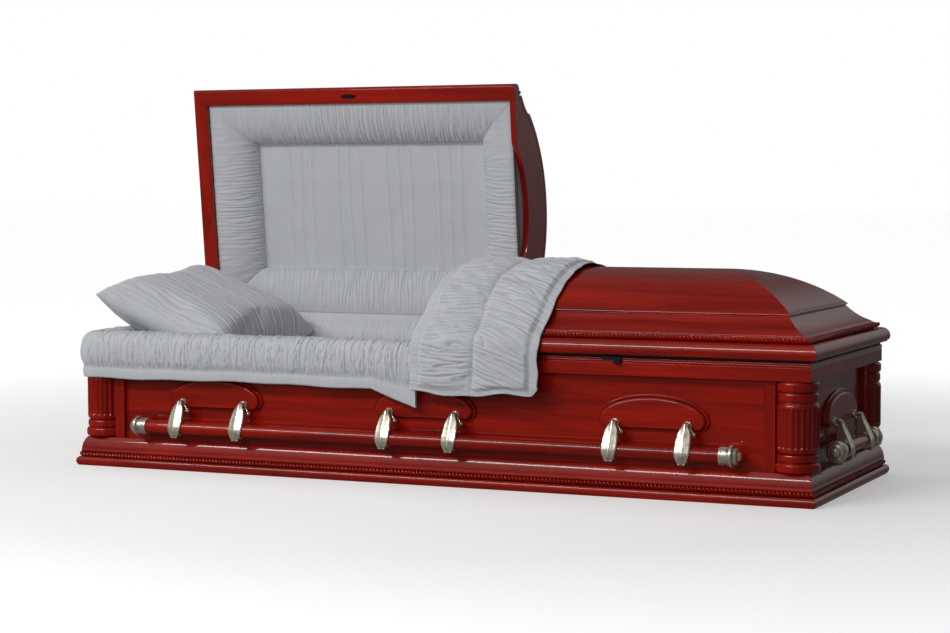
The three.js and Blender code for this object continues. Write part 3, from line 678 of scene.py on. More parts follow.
inner_outline = [
    (cove_foot_w - lid_wall, rim_top + seat_gap),
    (cove_foot_w - lid_wall, rim_top + 7 * MM),
    *bend(
        (cove_foot_w - 18 * MM, rim_top + 10 * MM),
        (cove_foot_w - 45 * MM, rim_top + 22 * MM),
        (dome_w - lid_wall, dome_z - 12 * MM),
        6,
    ),
    *dome(dome_w - lid_wall, dome_z - 8 * MM, ridge_z - lid_wall, 12)[1:],
]


def lid_top(name, side, place, materials):
    """A half-lid's domed shell, from its outer and inner outlines."""
    cut = side * cut_gap
    points, faces, kinds = [], [], []

    def row(w, z):
        end = side * (hip + w)
        points.extend([(cut, -w, z), (end, -w, z), (end, w, z), (cut, w, z)])

    for outline in (outer_outline, inner_outline):
        first = len(points)
        for w, z in outline:
            row(w, z)
        for i in range(len(outline) - 1):
            for k in range(3):
                a = first + 4 * i + k
                faces.append((a, a + 1, a + 5, a + 4))
                kinds.append(k % 2)
    inside = 4 * len(outer_outline)
    for k in range(3):
        faces.append((k, k + 1, inside + k + 1, inside + k))
        kinds.append(k % 2)
    rim = [4 * i for i in range(len(outer_outline))]
    rim += [4 * i + 3 for i in reversed(range(len(outer_outline) - 1))]
    rim += [inside + 4 * i + 3 for i in range(len(inner_outline))]
    rim += [inside + 4 * i for i in reversed(range(len(inner_outline) - 1))]
    faces.append(rim)
    kinds.append(0)
    return mesh_piece(name, points, faces, materials, 26, kinds, place)


def lid_header(name, side, place, material):
    """The board that closes a half-lid at the cut, with its arch and rounded inner edge."""
    clear = 1 * MM
    wall = rim_inner_w - seat_gap
    across = [(wall, lid_bottom), (wall, rim_top - seat_gap)]
    across.append((inner_outline[0][0] - clear, rim_top - seat_gap))
    across += [(w - clear, z - clear) for w, z in inner_outline[1:-1]]
    across.append((0.0, inner_outline[-1][1] - clear))
    outline = across + [(-w, z) for w, z in reversed(across[:-1])]
    half_arch, rise, fillet = 190 * MM, 66 * MM, 14 * MM
    radius = (half_arch**2 + rise**2) / (2 * rise)
    spread = atan2(half_arch, radius - rise) * 180 / pi
    arch = arc(0, lid_bottom + rise - radius, radius, radius, 90 + spread, 90 - spread, 40)
    crown = arch[2:-2]
    start = (-half_arch - fillet, lid_bottom)
    end = (half_arch + fillet, lid_bottom)
    lead_in = bend(start, (-half_arch, lid_bottom), crown[0], 6)[:-1]
    lead_out = bend(crown[-1], (half_arch, lid_bottom), end, 6)[1:]
    outline += lead_in + crown + lead_out
    x0 = side * cut_gap
    x1 = x0 + side * 16 * MM
    points, faces = lofted([[(x, y, z) for y, z in outline] for x in (x0, x1)])
    return eased(mesh_piece(name, points, faces, [material], 30, place=place), 1.6 * MM, 50)


nose_w = half_width
rim_profile = [
    (rim_inner_w, lid_bottom + 1.5 * MM),
    (rim_inner_w + 1.5 * MM, lid_bottom),
    (nose_w - 8 * MM, lid_bottom),
    *arc(nose_w - 8 * MM, lid_bottom + 5 * MM, 5 * MM, 5 * MM, -90, -20, 5)[1:],
    *arc(nose_w - 19 * MM, lid_bottom + 14 * MM, 19 * MM, 23.5 * MM, -8, 80, 18),
    (nose_w - 17.5 * MM, rim_top - 0.3 * MM),
    (nose_w - 19 * MM, rim_top),
    (rim_inner_w, rim_top),
]
lid_rope_low, lid_rope_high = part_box("foot_lid_rope")
lid_rope_w = lid_rope_high.y - rope_radius
lid_rope_z = (lid_rope_low.z + lid_rope_high.z) / 2
rebate_y = hinge_y - 6 * MM
rebate_z = hinge_z + 5.5 * MM


def rebated(piece, place):
    """Cuts the step for the hinge out of a rim's back edge."""
    step = (
        (rebate_y, lid_bottom - 0.01),
        (half_width + 0.01, lid_bottom - 0.01),
        (half_width + 0.01, rebate_z),
        (rebate_y, rebate_z),
    )
    points, faces = lofted([[(x, y, z) for y, z in step] for x in (-2.0, 2.0)])
    cutter = mesh_piece("rebate_cutter", points, faces, [], place=place)
    cut = piece.modifiers.new("rebate", "BOOLEAN")
    cut.operation = "DIFFERENCE"
    cut.solver = "EXACT"
    cut.object = cutter
    mesh = as_modified(piece)
    piece.modifiers.remove(cut)
    piece.data = mesh
    mesh.set_sharp_from_angle(angle=radians(32))
    bpy.data.objects.remove(cutter)
    return piece


for body, side, place, end_axis in (("head_lid", -1, as_opened, "z"), ("foot_lid", 1, None, "y")):
    woods = [lacquer["x"], lacquer[end_axis]]
    shell = lid_top(body + "_top_domed", side, place, woods)
    fitted(eased(shell, 0.9 * MM, 30), body, "red_lacquered_wood", body + "_top")
    rim = mitred(body + "_rim_bullnosed", rim_profile, woods, side, side * cut_gap, place)
    fitted(eased(rebated(rim, place)), body, "red_lacquered_wood", body + "_rim")
    cord = rope(body + "_rope_twist", lid_rope_w, lid_rope_z, side, side * (cut_gap + 7.5 * MM), place)
    fitted(cord, body, "red_lacquered_wood", body + "_rope")
    header = lid_header(body + "_header_arched", side, place, lacquer[end_axis])
    fitted(header, body, "red_lacquered_wood", body + "_header")


# Lining of the head lid
# White crepe gathered over a padded roll that is mitred round the lid, and a flat pad in the
# middle with four groups of three sewn tucks. The gathers are stitched in at both edges.
def smooth_noise(seed, low, high, terms=7):
    """Smooth noise of two variables between about -1 and 1, with frequencies from low to high."""
    pick = np.random.default_rng(seed)
    waves = pick.uniform(low, high, (terms, 1))
    turns = pick.uniform(0, 2 * pi, (terms, 3))

    def noise(u, v):
        total = 0.0
        for wave, turn in zip(waves[:, 0], turns):
            total = total + np.sin(2 * pi * wave * (u * cos(turn[0]) + v * sin(turn[0])) + turn[1])
        return total / sqrt(terms)

    return noise


def gathers(seed, pitch, wander=0.6, sharp=0.75, mixed=0.28):
    """Folds of cloth: ridges about a pitch apart along u, wandering with v, with smaller folds
    mixed in. Their height runs from 0 in the creases to 1 on the ridges."""
    drift = smooth_noise(seed, 0.15, 0.5)
    fine = smooth_noise(seed + 1, 0.6, 1.5)
    swell = smooth_noise(seed + 2, 0.2, 0.8)

    def height(u, v):
        s = u / pitch
        t = v / pitch
        phase = s + wander * drift(s, t * 0.25) + 0.22 * wander * fine(s, t * 0.35)
        fold = np.abs(np.sin(pi * phase)) ** sharp
        second = np.abs(np.sin(pi * (phase * 1.83 + 0.7 * drift(t * 0.3, s)))) ** sharp
        return ((1 - mixed) * fold + mixed * second) * (0.82 + 0.18 * swell(s, t * 0.3))

    return height


def white_crepe(name, tint=(0.70, 0.718, 0.745), weave=1400.0):
    """White crepe: a fine crinkled weave with a soft sheen, a faint unevenness of tone, and painted shade
    that darkens it in its creases."""
    material, shader, add, place = new_material(name)
    thin = (tint[0] * 0.95, tint[1] * 0.955, tint[2] * 0.97)
    tone = ramp(add, noise(add, place, 9.0, 3.0), thin, tint, 0.3, 0.7)
    # Pointiness darkens concave places: painted shade in the creases of the folds.
    curve = add("ShaderNodeNewGeometry").outputs["Pointiness"]
    threads = add("ShaderNodeTexVoronoi", {"Vector": place, "Scale": weave}).outputs["Distance"]
    crinkle = noise(add, place, 320.0, 3.0)
    both = add("ShaderNodeMath", {0: threads, 1: crinkle}, operation="ADD").outputs["Value"]
    shader(
        {
            "Base Color": times(add, tone, spread(add, curve, 0.42, 0.51, 0.62, 1.0)),
            "Normal": bumped(add, both, 0.3, 0.0005),
            "Roughness": 0.85,
            "Sheen Weight": 0.12,
            "Sheen Roughness": 0.45,
            "Specular IOR Level": 0.2,
        }
    )
    return material


crepe = white_crepe("white_crepe")
lining_gap = 1.5 * MM
roll_recess = 14 * MM
roll_width = 122 * MM
roll_depth = 74 * MM
roll_top = lid_bottom + roll_recess
panel_z = roll_top + roll_depth
roll_x = (-(rim_inner_w + hip) + lining_gap, -cut_gap - 16 * MM - lining_gap)
roll_y = (-rim_inner_w + lining_gap, rim_inner_w - lining_gap)
fold_pitch = 11.5 * MM
fold_height = 4.6 * MM


def lid_roll():
    """The gathered roll, one run of folds for each side of the frame, meeting at the mitres."""
    shape = arc(0, panel_z, roll_width, roll_depth, -90, 0, 26)
    behind = [
        (roll_width, panel_z + 10 * MM),
        (66 * MM, rim_top + 50 * MM),
        (14.5 * MM, rim_top + 7 * MM),
        (0.0, rim_top - 1 * MM),
    ]
    section = shape + behind
    corners = [
        lambda s: (roll_x[0] + s, roll_y[0] + s),
        lambda s: (roll_x[1] - s, roll_y[0] + s),
        lambda s: (roll_x[1] - s, roll_y[1] - s),
        lambda s: (roll_x[0] + s, roll_y[1] - s),
    ]
    parts = []
    front = len(shape)
    outward = (np.array(shape) - np.array([(0.0, panel_z)])) / np.array([roll_width**2, roll_depth**2])
    outward /= np.linalg.norm(outward, axis=1)[:, None]
    inset = np.array([p[0] for p in section])
    depth = np.array([p[1] for p in section])
    share = np.linspace(0, 1, front)
    for k in range(4):
        a = np.array([corners[k](s) for s in inset])
        b = np.array([corners[(k + 1) % 4](s) for s in inset])
        length = np.abs(b[0] - a[0]).max()
        steps = int(length / (1.95 * MM))
        t = np.linspace(0, 1, steps)[:, None]
        x = a[:, 0] * (1 - t) + b[:, 0] * t
        y = a[:, 1] * (1 - t) + b[:, 1] * t
        z = np.repeat(depth[None, :], steps, 0)
        along = x if k % 2 == 0 else y
        slant = 20 * MM * share**2 if k % 2 == 0 else 4 * MM * share
        folds = gathers(40 + k, fold_pitch, 0.3, 0.6, 0.1)(along[:, :front] + slant, share * 0.12)
        seam = np.minimum(1, np.minimum(t, 1 - t) * length / (5 * MM)) ** 0.5
        ends = 0.5 + 0.5 * np.sin(pi * share) ** 0.5
        lift = fold_height * (folds - 0.5) * seam * ends
        into = ((0, 1), (-1, 0), (0, -1), (1, 0))[k]
        x[:, :front] += lift * outward[:, 0] * into[0]
        y[:, :front] += lift * outward[:, 0] * into[1]
        z[:, :front] += lift * outward[:, 1]
        parts.append(lofted([[as_opened(p) for p in row] for row in np.stack([x, y, z], -1)]))
    near, far = roll_x[1] - 5 * MM, roll_x[1] - 0.5 * MM
    low, high = roll_top + 8 * MM, rim_top + 46 * MM
    facing = []
    for y in np.linspace(-236 * MM, 236 * MM, 60):
        slack = near + 0.8 * MM * sin(31 * y)
        ring = ((slack, low), (slack, high), (far, high), (far, low))
        facing.append([as_opened((x, y, z)) for x, z in ring])
    parts.append(lofted(facing))
    return mesh_piece("head_lid_roll_gathered", *joined(parts), [crepe], 75)


def grid_rim(nu, nv):
    """The points round the edge of a grid of nu rows of nv points."""
    rim = [*range(nv), *(i * nv + nv - 1 for i in range(1, nu))]
    rim += [(nu - 1) * nv + j for j in reversed(range(nv - 1))]
    return rim + [i * nv for i in reversed(range(1, nu - 1))]


def closed_pad(name, surface, back, nu, nv, material, place=None, sharp=60):
    """A pad from a front surface of u and v, closed by a wall and a flat back."""
    u, v = np.meshgrid(np.linspace(0, 1, nu), np.linspace(0, 1, nv), indexing="ij")
    front = surface(u, v).reshape(-1, 3)
    rear = back(u, v).reshape(-1, 3)
    edge = grid_rim(nu, nv)
    points = [tuple(p) for p in front] + [tuple(rear[n]) for n in edge]
    behind = list(range(nu * nv, nu * nv + len(edge)))
    faces = skin(nu, nv, around=False)
    faces += zip(edge, edge[1:] + edge[:1], behind[1:] + behind[:1], behind)
    faces.append(behind)
    return mesh_piece(name, points, faces, [material], sharp, place=place)


panel_inset = roll_width - 4 * MM
panel_x = (roll_x[0] + panel_inset, roll_x[1] - panel_inset)
panel_y = (roll_y[0] + panel_inset, roll_y[1] - panel_inset)
tuck_groups = 4
tucks_in_group = 3
tuck_pitch = 38 * MM
tuck_height = 4.2 * MM


def tucked_surface(u, v):
    """The flat pad, with sewn tucks that stand up and lean, and bend a little between stitches."""
    x = panel_x[0] + (panel_x[1] - panel_x[0]) * u
    y = panel_y[0] + (panel_y[1] - panel_y[0]) * v
    bulge = np.sin(pi * u) ** 0.3 * np.sin(pi * v) ** 0.3
    z = panel_z - 5 * MM * bulge + 3 * MM
    ripple = smooth_noise(77, 2, 6)
    z = z + 0.5 * MM * ripple(u * 2, v)
    group_pitch = (panel_x[1] - panel_x[0]) / (tuck_groups + 0.6)
    stitches = np.abs((v * 3) % 1.0 - 0.5) * 2
    for group in range(tuck_groups):
        for tuck in range(tucks_in_group):
            line = panel_x[0] + group_pitch * (group + 0.85) + (tuck - 1) * tuck_pitch
            line = line + 4 * MM * (stitches - 0.5) + 2 * MM * np.sin(5 * v + tuck + 2 * group)
            away = (x - line) / (9 * MM)
            ridge = np.where(away > 0, np.exp(-away * 1.2), np.exp(away * 6))
            z = z - tuck_height * ridge * (0.55 + 0.45 * stitches)
    return np.stack([x, y, z], -1)


def panel_back(u, v):
    """The flat back of the tucked pad."""
    x = panel_x[0] + (panel_x[1] - panel_x[0]) * u
    y = panel_y[0] + (panel_y[1] - panel_y[0]) * v
    return np.stack([x, y, np.full_like(x, panel_z + 10 * MM)], -1)


roll = lid_roll()
fitted(roll, "head_lid", "white_crepe", "head_lid_roll")
panel = closed_pad("head_lid_panel_tucked", tucked_surface, panel_back, 380, 66, crepe, as_opened)
fitted(panel, "head_lid", "white_crepe", "head_lid_panel")

# Mattress
# A plain white pad on the floor of the case, a little lower than the rail, with a corded seam
# round its top edge. Only its top shows, past the pillow.
mattress_low, mattress_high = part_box("mattress")


def mattress():
    """A slab with crowned top, rounded edges and a corded seam round the top."""
    half_x, half_y = mattress_high.x, mattress_high.y
    low, high = mattress_low.z, mattress_high.z
    nu, nv = 160, 60
    u, v = np.meshgrid(np.linspace(-1, 1, nu), np.linspace(-1, 1, nv), indexing="ij")
    x = half_x * np.sign(u) * np.abs(u) ** 0.8
    y = half_y * np.sign(v) * np.abs(v) ** 0.8
    edge = np.minimum(half_x - np.abs(x), half_y - np.abs(y))
    drop = 26 * MM * np.exp(-edge / (22 * MM)) - 1.5 * MM * smooth_noise(5, 1, 4)(u * 3, v)
    top = np.stack([x, y, high - 2 * MM - np.maximum(drop, 0)], -1).reshape(-1, 3)
    points = [tuple(p) for p in top]
    faces = skin(nu, nv, around=False)
    ring = grid_rim(nu, nv)
    previous = ring
    for z, inset in ((high - 34 * MM, 1 * MM), (high - 40 * MM, 0.0), (low + 12 * MM, 0.0), (low, 6 * MM)):
        current = list(range(len(points), len(points) + len(ring)))
        for x, y, _ in top[ring]:
            points.append((x - np.sign(x) * inset, y - np.sign(y) * inset, z))
        faces += zip(previous, previous[1:] + previous[:1], current[1:] + current[:1], current)
        previous = current
    faces.append(previous)
    cloth = white_crepe("mattress_cloth", (0.66, 0.68, 0.71), 900.0)
    return mesh_piece("mattress_pad", points, faces, [cloth], 60)


pad = mattress()
fitted(pad, "case", "mattress_cloth", "mattress")

# Wall lining
# Gathered crepe tacked round the inside of the case from the mattress to the rail. Behind the
# head half it carries on up over the hinge to the lid, as an apron.
lining_low, lining_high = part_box("wall_lining")
lining_outer_w = rail_inner_w - 0.5 * MM
apron_top = lining_high.z
apron_y = lining_high.y


def gathered_run(start, end, section, back, into, seed, pitch, fold):
    """A straight run of gathered cloth: section and back are (out, z) lists, out measured from
    the line towards the inside of the case."""
    start, end = np.array(start, float), np.array(end, float)
    length = np.linalg.norm(end - start)
    steps = max(2, int(length / (2.2 * MM)))
    t = np.linspace(0, 1, steps)[:, None]
    out = np.array([p[0] for p in section + back])
    height = np.array([p[1] for p in section + back])
    front = len(section)
    share = np.linspace(0, 1, front)
    gather = gathers(seed, pitch, 0.5, 0.65, 0.2)(t * length, share * 0.15)
    lift = fold * (gather - 0.6) * np.sin(pi * np.clip(share, 0.02, 0.98)) ** 0.25
    full = np.zeros((steps, len(out)))
    full[:, :front] = lift
    reach = out[None, :] + full
    x = start[0] + (end[0] - start[0]) * t + into[0] * reach
    y = start[1] + (end[1] - start[1]) * t + into[1] * reach
    z = np.repeat(height[None, :], steps, 0)
    return lofted(np.stack([x, y, z], -1))


def wall_lining():
    """All the runs of the wall lining in one mesh."""
    low = lining_low.z
    high = rail_high.z - 1 * MM
    outer = lining_outer_w
    end_x = outer + hip
    plain = [(7 * MM, low + (high - low) * i / 9) for i in range(10)]
    low_front = [(7 * MM, low + (rail_high.z - 62 * MM - low) * i / 6) for i in range(7)]
    lean = [
        (7 * MM, low),
        *[(7 * MM, low + (high - 4 * MM - low) * i / 7) for i in range(1, 8)],
        *[
            (7 * MM - (apron_y - outer + 1 * MM) * i / 6, high - 2 * MM + (apron_top - high) * i / 6)
            for i in range(1, 7)
        ],
    ]
    behind = [(0.0, high), (0.0, low)]
    lean_back = [(outer - apron_y + 0.5 * MM, apron_top - 3 * MM), (-1 * MM, high + 2 * MM), *behind]
    front_back = [(0.0, rail_high.z - 62 * MM), (0.0, low)]
    runs = [
        ((-end_x + 9 * MM, outer), (-10 * MM, outer), lean, lean_back, (0, -1), 91),
        ((-6 * MM, outer), (end_x - 8 * MM, outer), plain, behind, (0, -1), 92),
        ((2 * MM, -outer), (end_x - 8 * MM, -outer), plain, behind, (0, 1), 93),
        ((-end_x + 8 * MM, -outer), (-1 * MM, -outer), low_front, front_back, (0, 1), 94),
        ((end_x, -outer), (end_x, outer), plain, behind, (-1, 0), 95),
        ((-end_x, -outer), (-end_x, outer), low_front, front_back, (1, 0), 96),
    ]
    parts = [gathered_run(*run, 12.5 * MM, 5 * MM) for run in runs]
    return mesh_piece("wall_lining_gathered", *joined(parts), [crepe], 75)


lining = wall_lining()
fitted(lining, "case", "white_crepe", "wall_lining")
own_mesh(lining)

# Extendover
# A padded, gathered cloth that folds out over the rail along the front and round the head end.
# It rolls over the rail, hangs down outside it, and ends in a flat hem with a corner at the cut.
over_low, over_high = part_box("extendover")
over_corner_w = 298 * MM
over_inside_w = rail_inner_w - 14 * MM
over_flap_run, over_flap_drop = 130 * MM, 46 * MM
over_hem_z = over_low.z + over_flap_drop
skirt_back_w = half_width - 9 * MM


def over_section():
    """The outer face of the extendover from its inside edge, over the rail and down to the hem,
    and its inner face back again, as (half-width, z) points."""
    top = over_high.z
    outside = half_width + 8 * MM
    hem = over_hem_z
    face = [
        (over_inside_w + 3 * MM, rail_high.z - 55 * MM),
        (over_inside_w + 1 * MM, rail_high.z - 30 * MM),
        (over_inside_w + 1 * MM, rail_high.z - 4 * MM),
        (over_inside_w + 7 * MM, top - 14 * MM),
        (over_inside_w + 22 * MM, top - 3 * MM),
        (over_inside_w + 40 * MM, top - 2.5 * MM),
        (outside - 30 * MM, top - 6 * MM),
        (outside - 12 * MM, top - 19 * MM),
        (outside - 3 * MM, top - 40 * MM),
        (outside - 0.5 * MM, top - 62 * MM),
        (outside - 3 * MM, top - 84 * MM),
        (outside - 8 * MM, hem + 36 * MM),
        (outside - 9.5 * MM, hem + 32 * MM),
        (outside - 8 * MM, hem + 28 * MM),
        (outside - 7 * MM, hem + 14 * MM),
        (outside - 8 * MM, hem + 4 * MM),
    ]
    inner = [
        (outside - 10 * MM, hem + 1 * MM),
        (skirt_back_w, hem + 2 * MM),
        (skirt_back_w, lid_bottom - 14 * MM),
        (skirt_back_w - 5 * MM, lid_bottom + 2 * MM),
        (over_inside_w + 16 * MM, lid_bottom + 2 * MM),
        (over_inside_w + 12.5 * MM, rail_high.z - 2 * MM),
        (over_inside_w + 12.5 * MM, rail_high.z - 56 * MM),
    ]
    return face, inner


def rounded_curve(points, steps):
    """Points evenly spaced on a smooth curve through the given ones."""
    p = np.array(points)
    t = np.concatenate([[0], np.cumsum(np.linalg.norm(np.diff(p, axis=0), axis=1))])
    even = np.linspace(0, t[-1], steps)
    tangent = np.gradient(p, t, axis=0)
    k = np.clip(np.searchsorted(t, even, side="right") - 1, 0, len(t) - 2)
    h = (t[k + 1] - t[k])[:, None]
    s = ((even - t[k]) / (t[k + 1] - t[k]))[:, None]
    return (
        (2 * s**3 - 3 * s**2 + 1) * p[k]
        + (s**3 - 2 * s**2 + s) * h * tangent[k]
        + (-2 * s**3 + 3 * s**2) * p[k + 1]
        + (s**3 - s**2) * h * tangent[k + 1]
    )


def extendover():
    """The whole extendover, its corner at the head turned on a radius."""
    face, inner = over_section()
    outer_curve = rounded_curve(face, 64)
    section = np.concatenate([outer_curve, np.array(inner)])
    front = len(outer_curve)
    w, z = section[:, 0], section[:, 1]
    share = np.linspace(0, 1, front)
    tangent = np.gradient(outer_curve, axis=0)
    tangent /= np.linalg.norm(tangent, axis=1)[:, None]
    normal = np.stack([-tangent[:, 1], tangent[:, 0]], -1)
    start_x = -6 * MM
    end_y = over_high.y
    front_run = hip + over_corner_w + start_x
    step = 2.3 * MM
    corner_steps = 54
    stations = [("front", s) for s in np.arange(0, front_run, step)]
    stations += [("corner", a) for a in np.linspace(0, pi / 2, corner_steps)]
    stations += [("end", s) for s in np.arange(step, over_corner_w + end_y, step)]
    stations += [("end", over_corner_w + end_y)]
    middle = np.minimum(w, over_corner_w)
    radius = np.maximum(w - over_corner_w, 0)
    rows, distance, spot = [], [], 0.0
    outward = []
    for kind, s in stations:
        if kind == "front":
            x = np.full_like(w, start_x - s)
            y = -w
            spot = s
            out = (0.0, -1.0)
        elif kind == "corner":
            x = -(hip + middle) - radius * sin(s)
            y = -middle - radius * cos(s)
            spot = front_run + 58 * MM * s
            out = (-sin(s), -cos(s))
            x = np.where(w < over_corner_w, -(hip + w), x)
        else:
            x = -(hip + w)
            y = np.full_like(w, -over_corner_w + s)
            spot = front_run + 58 * MM * pi / 2 + s
            out = (-1.0, 0.0)
        rows.append((x, y))
        outward.append(out)
        distance.append(spot)
    distance = np.array(distance)[:, None]
    gather = gathers(301, 12.5 * MM, 0.55, 0.6, 0.2)(distance + 8 * MM * share**2, share * 0.2)
    sag = smooth_noise(310, 1.2, 5)(distance, share * 0.1)
    hem_line = 35 * MM / (over_high.z - over_hem_z)
    lowness = (outer_curve[:, 1] - over_hem_z) / (over_high.z - over_hem_z)
    on_hem = 1 / (1 + np.exp((lowness - hem_line) / 0.02))
    inside = np.clip(share / 0.08, 0, 1)
    strength = (1 - on_hem) * inside + 0.18 * on_hem
    lift = (6.2 * MM * (gather - 0.66) + 1.2 * MM * sag) * strength
    rings = []
    for i, ((x, y), out) in enumerate(zip(rows, outward)):
        px, py, pz = x.copy(), y.copy(), z.copy()
        px[:front] += out[0] * normal[:, 0] * lift[i]
        py[:front] += out[1] * normal[:, 0] * lift[i]
        pz[:front] += normal[:, 1] * lift[i]
        drop = over_flap_drop * max(0.0, 1 - distance[i, 0] / over_flap_run)
        wavy = 2.0 * MM * np.sin(distance[i, 0] * 9) + 1.2 * MM * np.sin(distance[i, 0] * 31)
        low_share = np.clip((over_high.z - 70 * MM - pz) / (60 * MM), 0, 1)
        pz -= (drop + wavy - 2 * MM) * low_share
        rings.append(list(zip(px, py, pz)))
    return mesh_piece("extendover_gathered", *lofted(rings), [crepe], 75)


over = extendover()
fitted(over, "case", "white_crepe", "extendover")
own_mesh(over)

# Pillow
# A soft filled pillow that leans on the head-end rail, its head side up. Its cloth is gathered
# slantwise over the top and meets a plain side in a seam.
pillow_middle = Vector((-half_length + 213 * MM, 0.0, mattress_high.z + 172 * MM))
pillow_length, pillow_width, pillow_thick = 470 * MM, 550 * MM, 176 * MM
pillow_turn = Matrix.Rotation(radians(4), 4, "X") @ Matrix.Rotation(radians(22), 4, "Y")


def pillow_shape(nu, nv, swell):
    """The pillow lying flat at the origin: two crowned faces that meet in a seam."""
    u, v = np.meshgrid(np.linspace(-1, 1, nu), np.linspace(-1, 1, nv), indexing="ij")
    x = pillow_length / 2 * u * (1 - 0.07 * (1 - v**2))
    y = pillow_width / 2 * v * (1 - 0.07 * (1 - u**2))
    height = pillow_thick / 2 * swell * np.sqrt(np.maximum((1 - u**4) * (1 - v**4), 0))
    return u, v, x, y, height


def pillow():
    """The pillow, blown up by a short cloth simulation, then gathered along slanting folds."""
    nu, nv = 42, 54
    u, v, x, y, height = pillow_shape(nu, nv, 0.8)
    points, faces = [], []
    for side in (1, -1):
        first = len(points)
        full = 1 if side > 0 else 1 + 0.3 * u
        points += list(zip(x.ravel(), y.ravel(), (side * full * height).ravel()))
        faces += skin(nu, nv, around=False, first=first)
    piece = mesh_piece("pillow_gathered", points, faces, [crepe], 180)
    cloth = piece.modifiers.new("fill", "CLOTH")
    cloth.settings.use_pressure = True
    cloth.settings.uniform_pressure_force = 4.0
    cloth.settings.tension_stiffness = 12
    cloth.settings.compression_stiffness = 12
    cloth.settings.bending_stiffness = 1.0
    cloth.settings.effector_weights.gravity = 0.0
    cloth.settings.quality = 6
    before = np.array([v.co for v in piece.data.vertices])
    for step in range(1, 17):
        bpy.context.scene.frame_set(step)
    after = np.array([v.co for v in as_modified(piece).vertices])
    piece.modifiers.remove(cloth)
    bpy.context.scene.frame_set(1)
    move = after - before
    reach = np.linalg.norm(move, axis=1)[:, None]
    limit = 16 * MM
    move *= np.minimum(1, limit / np.maximum(reach, 1e-9))
    piece.data.vertices.foreach_set("co", (before + move).ravel())
    fine = piece.modifiers.new("fine", "SUBSURF")
    fine.levels = fine.render_levels = 2
    mesh = as_modified(piece)
    piece.modifiers.remove(fine)
    piece.data = mesh
    co = np.array([v.co for v in mesh.vertices])
    normal = np.array([v.normal for v in mesh.vertices])
    slant = radians(9)
    across = co[:, 0] * sin(slant) + co[:, 1] * cos(slant)
    down = co[:, 0] * cos(slant) - co[:, 1] * sin(slant)
    fan = across + 0.3 * down * (co[:, 1] / pillow_width)
    folds = gathers(501, 12.5 * MM, 0.4, 0.6, 0.15)(fan, down * 0.35)
    edge_u = np.clip((1 - np.abs(co[:, 0]) / (pillow_length / 2)) / 0.12, 0, 1)
    edge_v = np.clip((1 - np.abs(co[:, 1]) / (pillow_width / 2)) / 0.1, 0, 1)
    edge = np.minimum(edge_u, edge_v)
    shown = np.where(normal[:, 2] > 0, 0.55 + 0.45 * edge, 0.25)
    co += normal * (4.6 * MM * (folds - 0.65) * shown)[:, None]
    place = np.array(pillow_turn.to_3x3())
    co = co @ place.T + np.array(pillow_middle)
    mesh.vertices.foreach_set("co", co.ravel())
    mesh.update()
    return piece


headrest = pillow()
fitted(headrest, "case", "white_crepe", "pillow")
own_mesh(headrest)

# Throw
# A gathered crepe cover laid over the cut end of the foot lid. It has two gathered panels with
# a line of stitching between them and a flat hem all round, and hangs below the rail in front.
throw_low, throw_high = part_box("throw")
throw_border = 34 * MM
throw_width = 363 * MM


def throw_path():
    """The line the throw follows over the lid, from its front hem to behind the ridge. It hangs
    straight down from the rim and bridges the cove."""
    hang = -throw_low.y - 8 * MM
    front = [
        (-hang, throw_low.z),
        (-hang - 1 * MM, throw_low.z + 55 * MM),
        (-hang + 0.5 * MM, rail_high.z),
        (-hang + 4 * MM, lid_bottom + 20 * MM),
        (-half_width + 3 * MM, lid_bottom + 37 * MM),
        (-half_width + 22 * MM, rim_top + 13 * MM),
        (-half_width + 54 * MM, rim_top + 38 * MM),
        (-dome_w - 8 * MM, dome_z + 1 * MM),
    ]
    rise = [(-w * 1.012, z + 5 * MM) for w, z in dome(dome_w, dome_z, ridge_z, 10)[1:]]
    fall = [(-y, z) for y, z in reversed(rise[:-1]) if -y < throw_high.y - 4 * MM]
    return rounded_curve(front + rise + fall, 300)


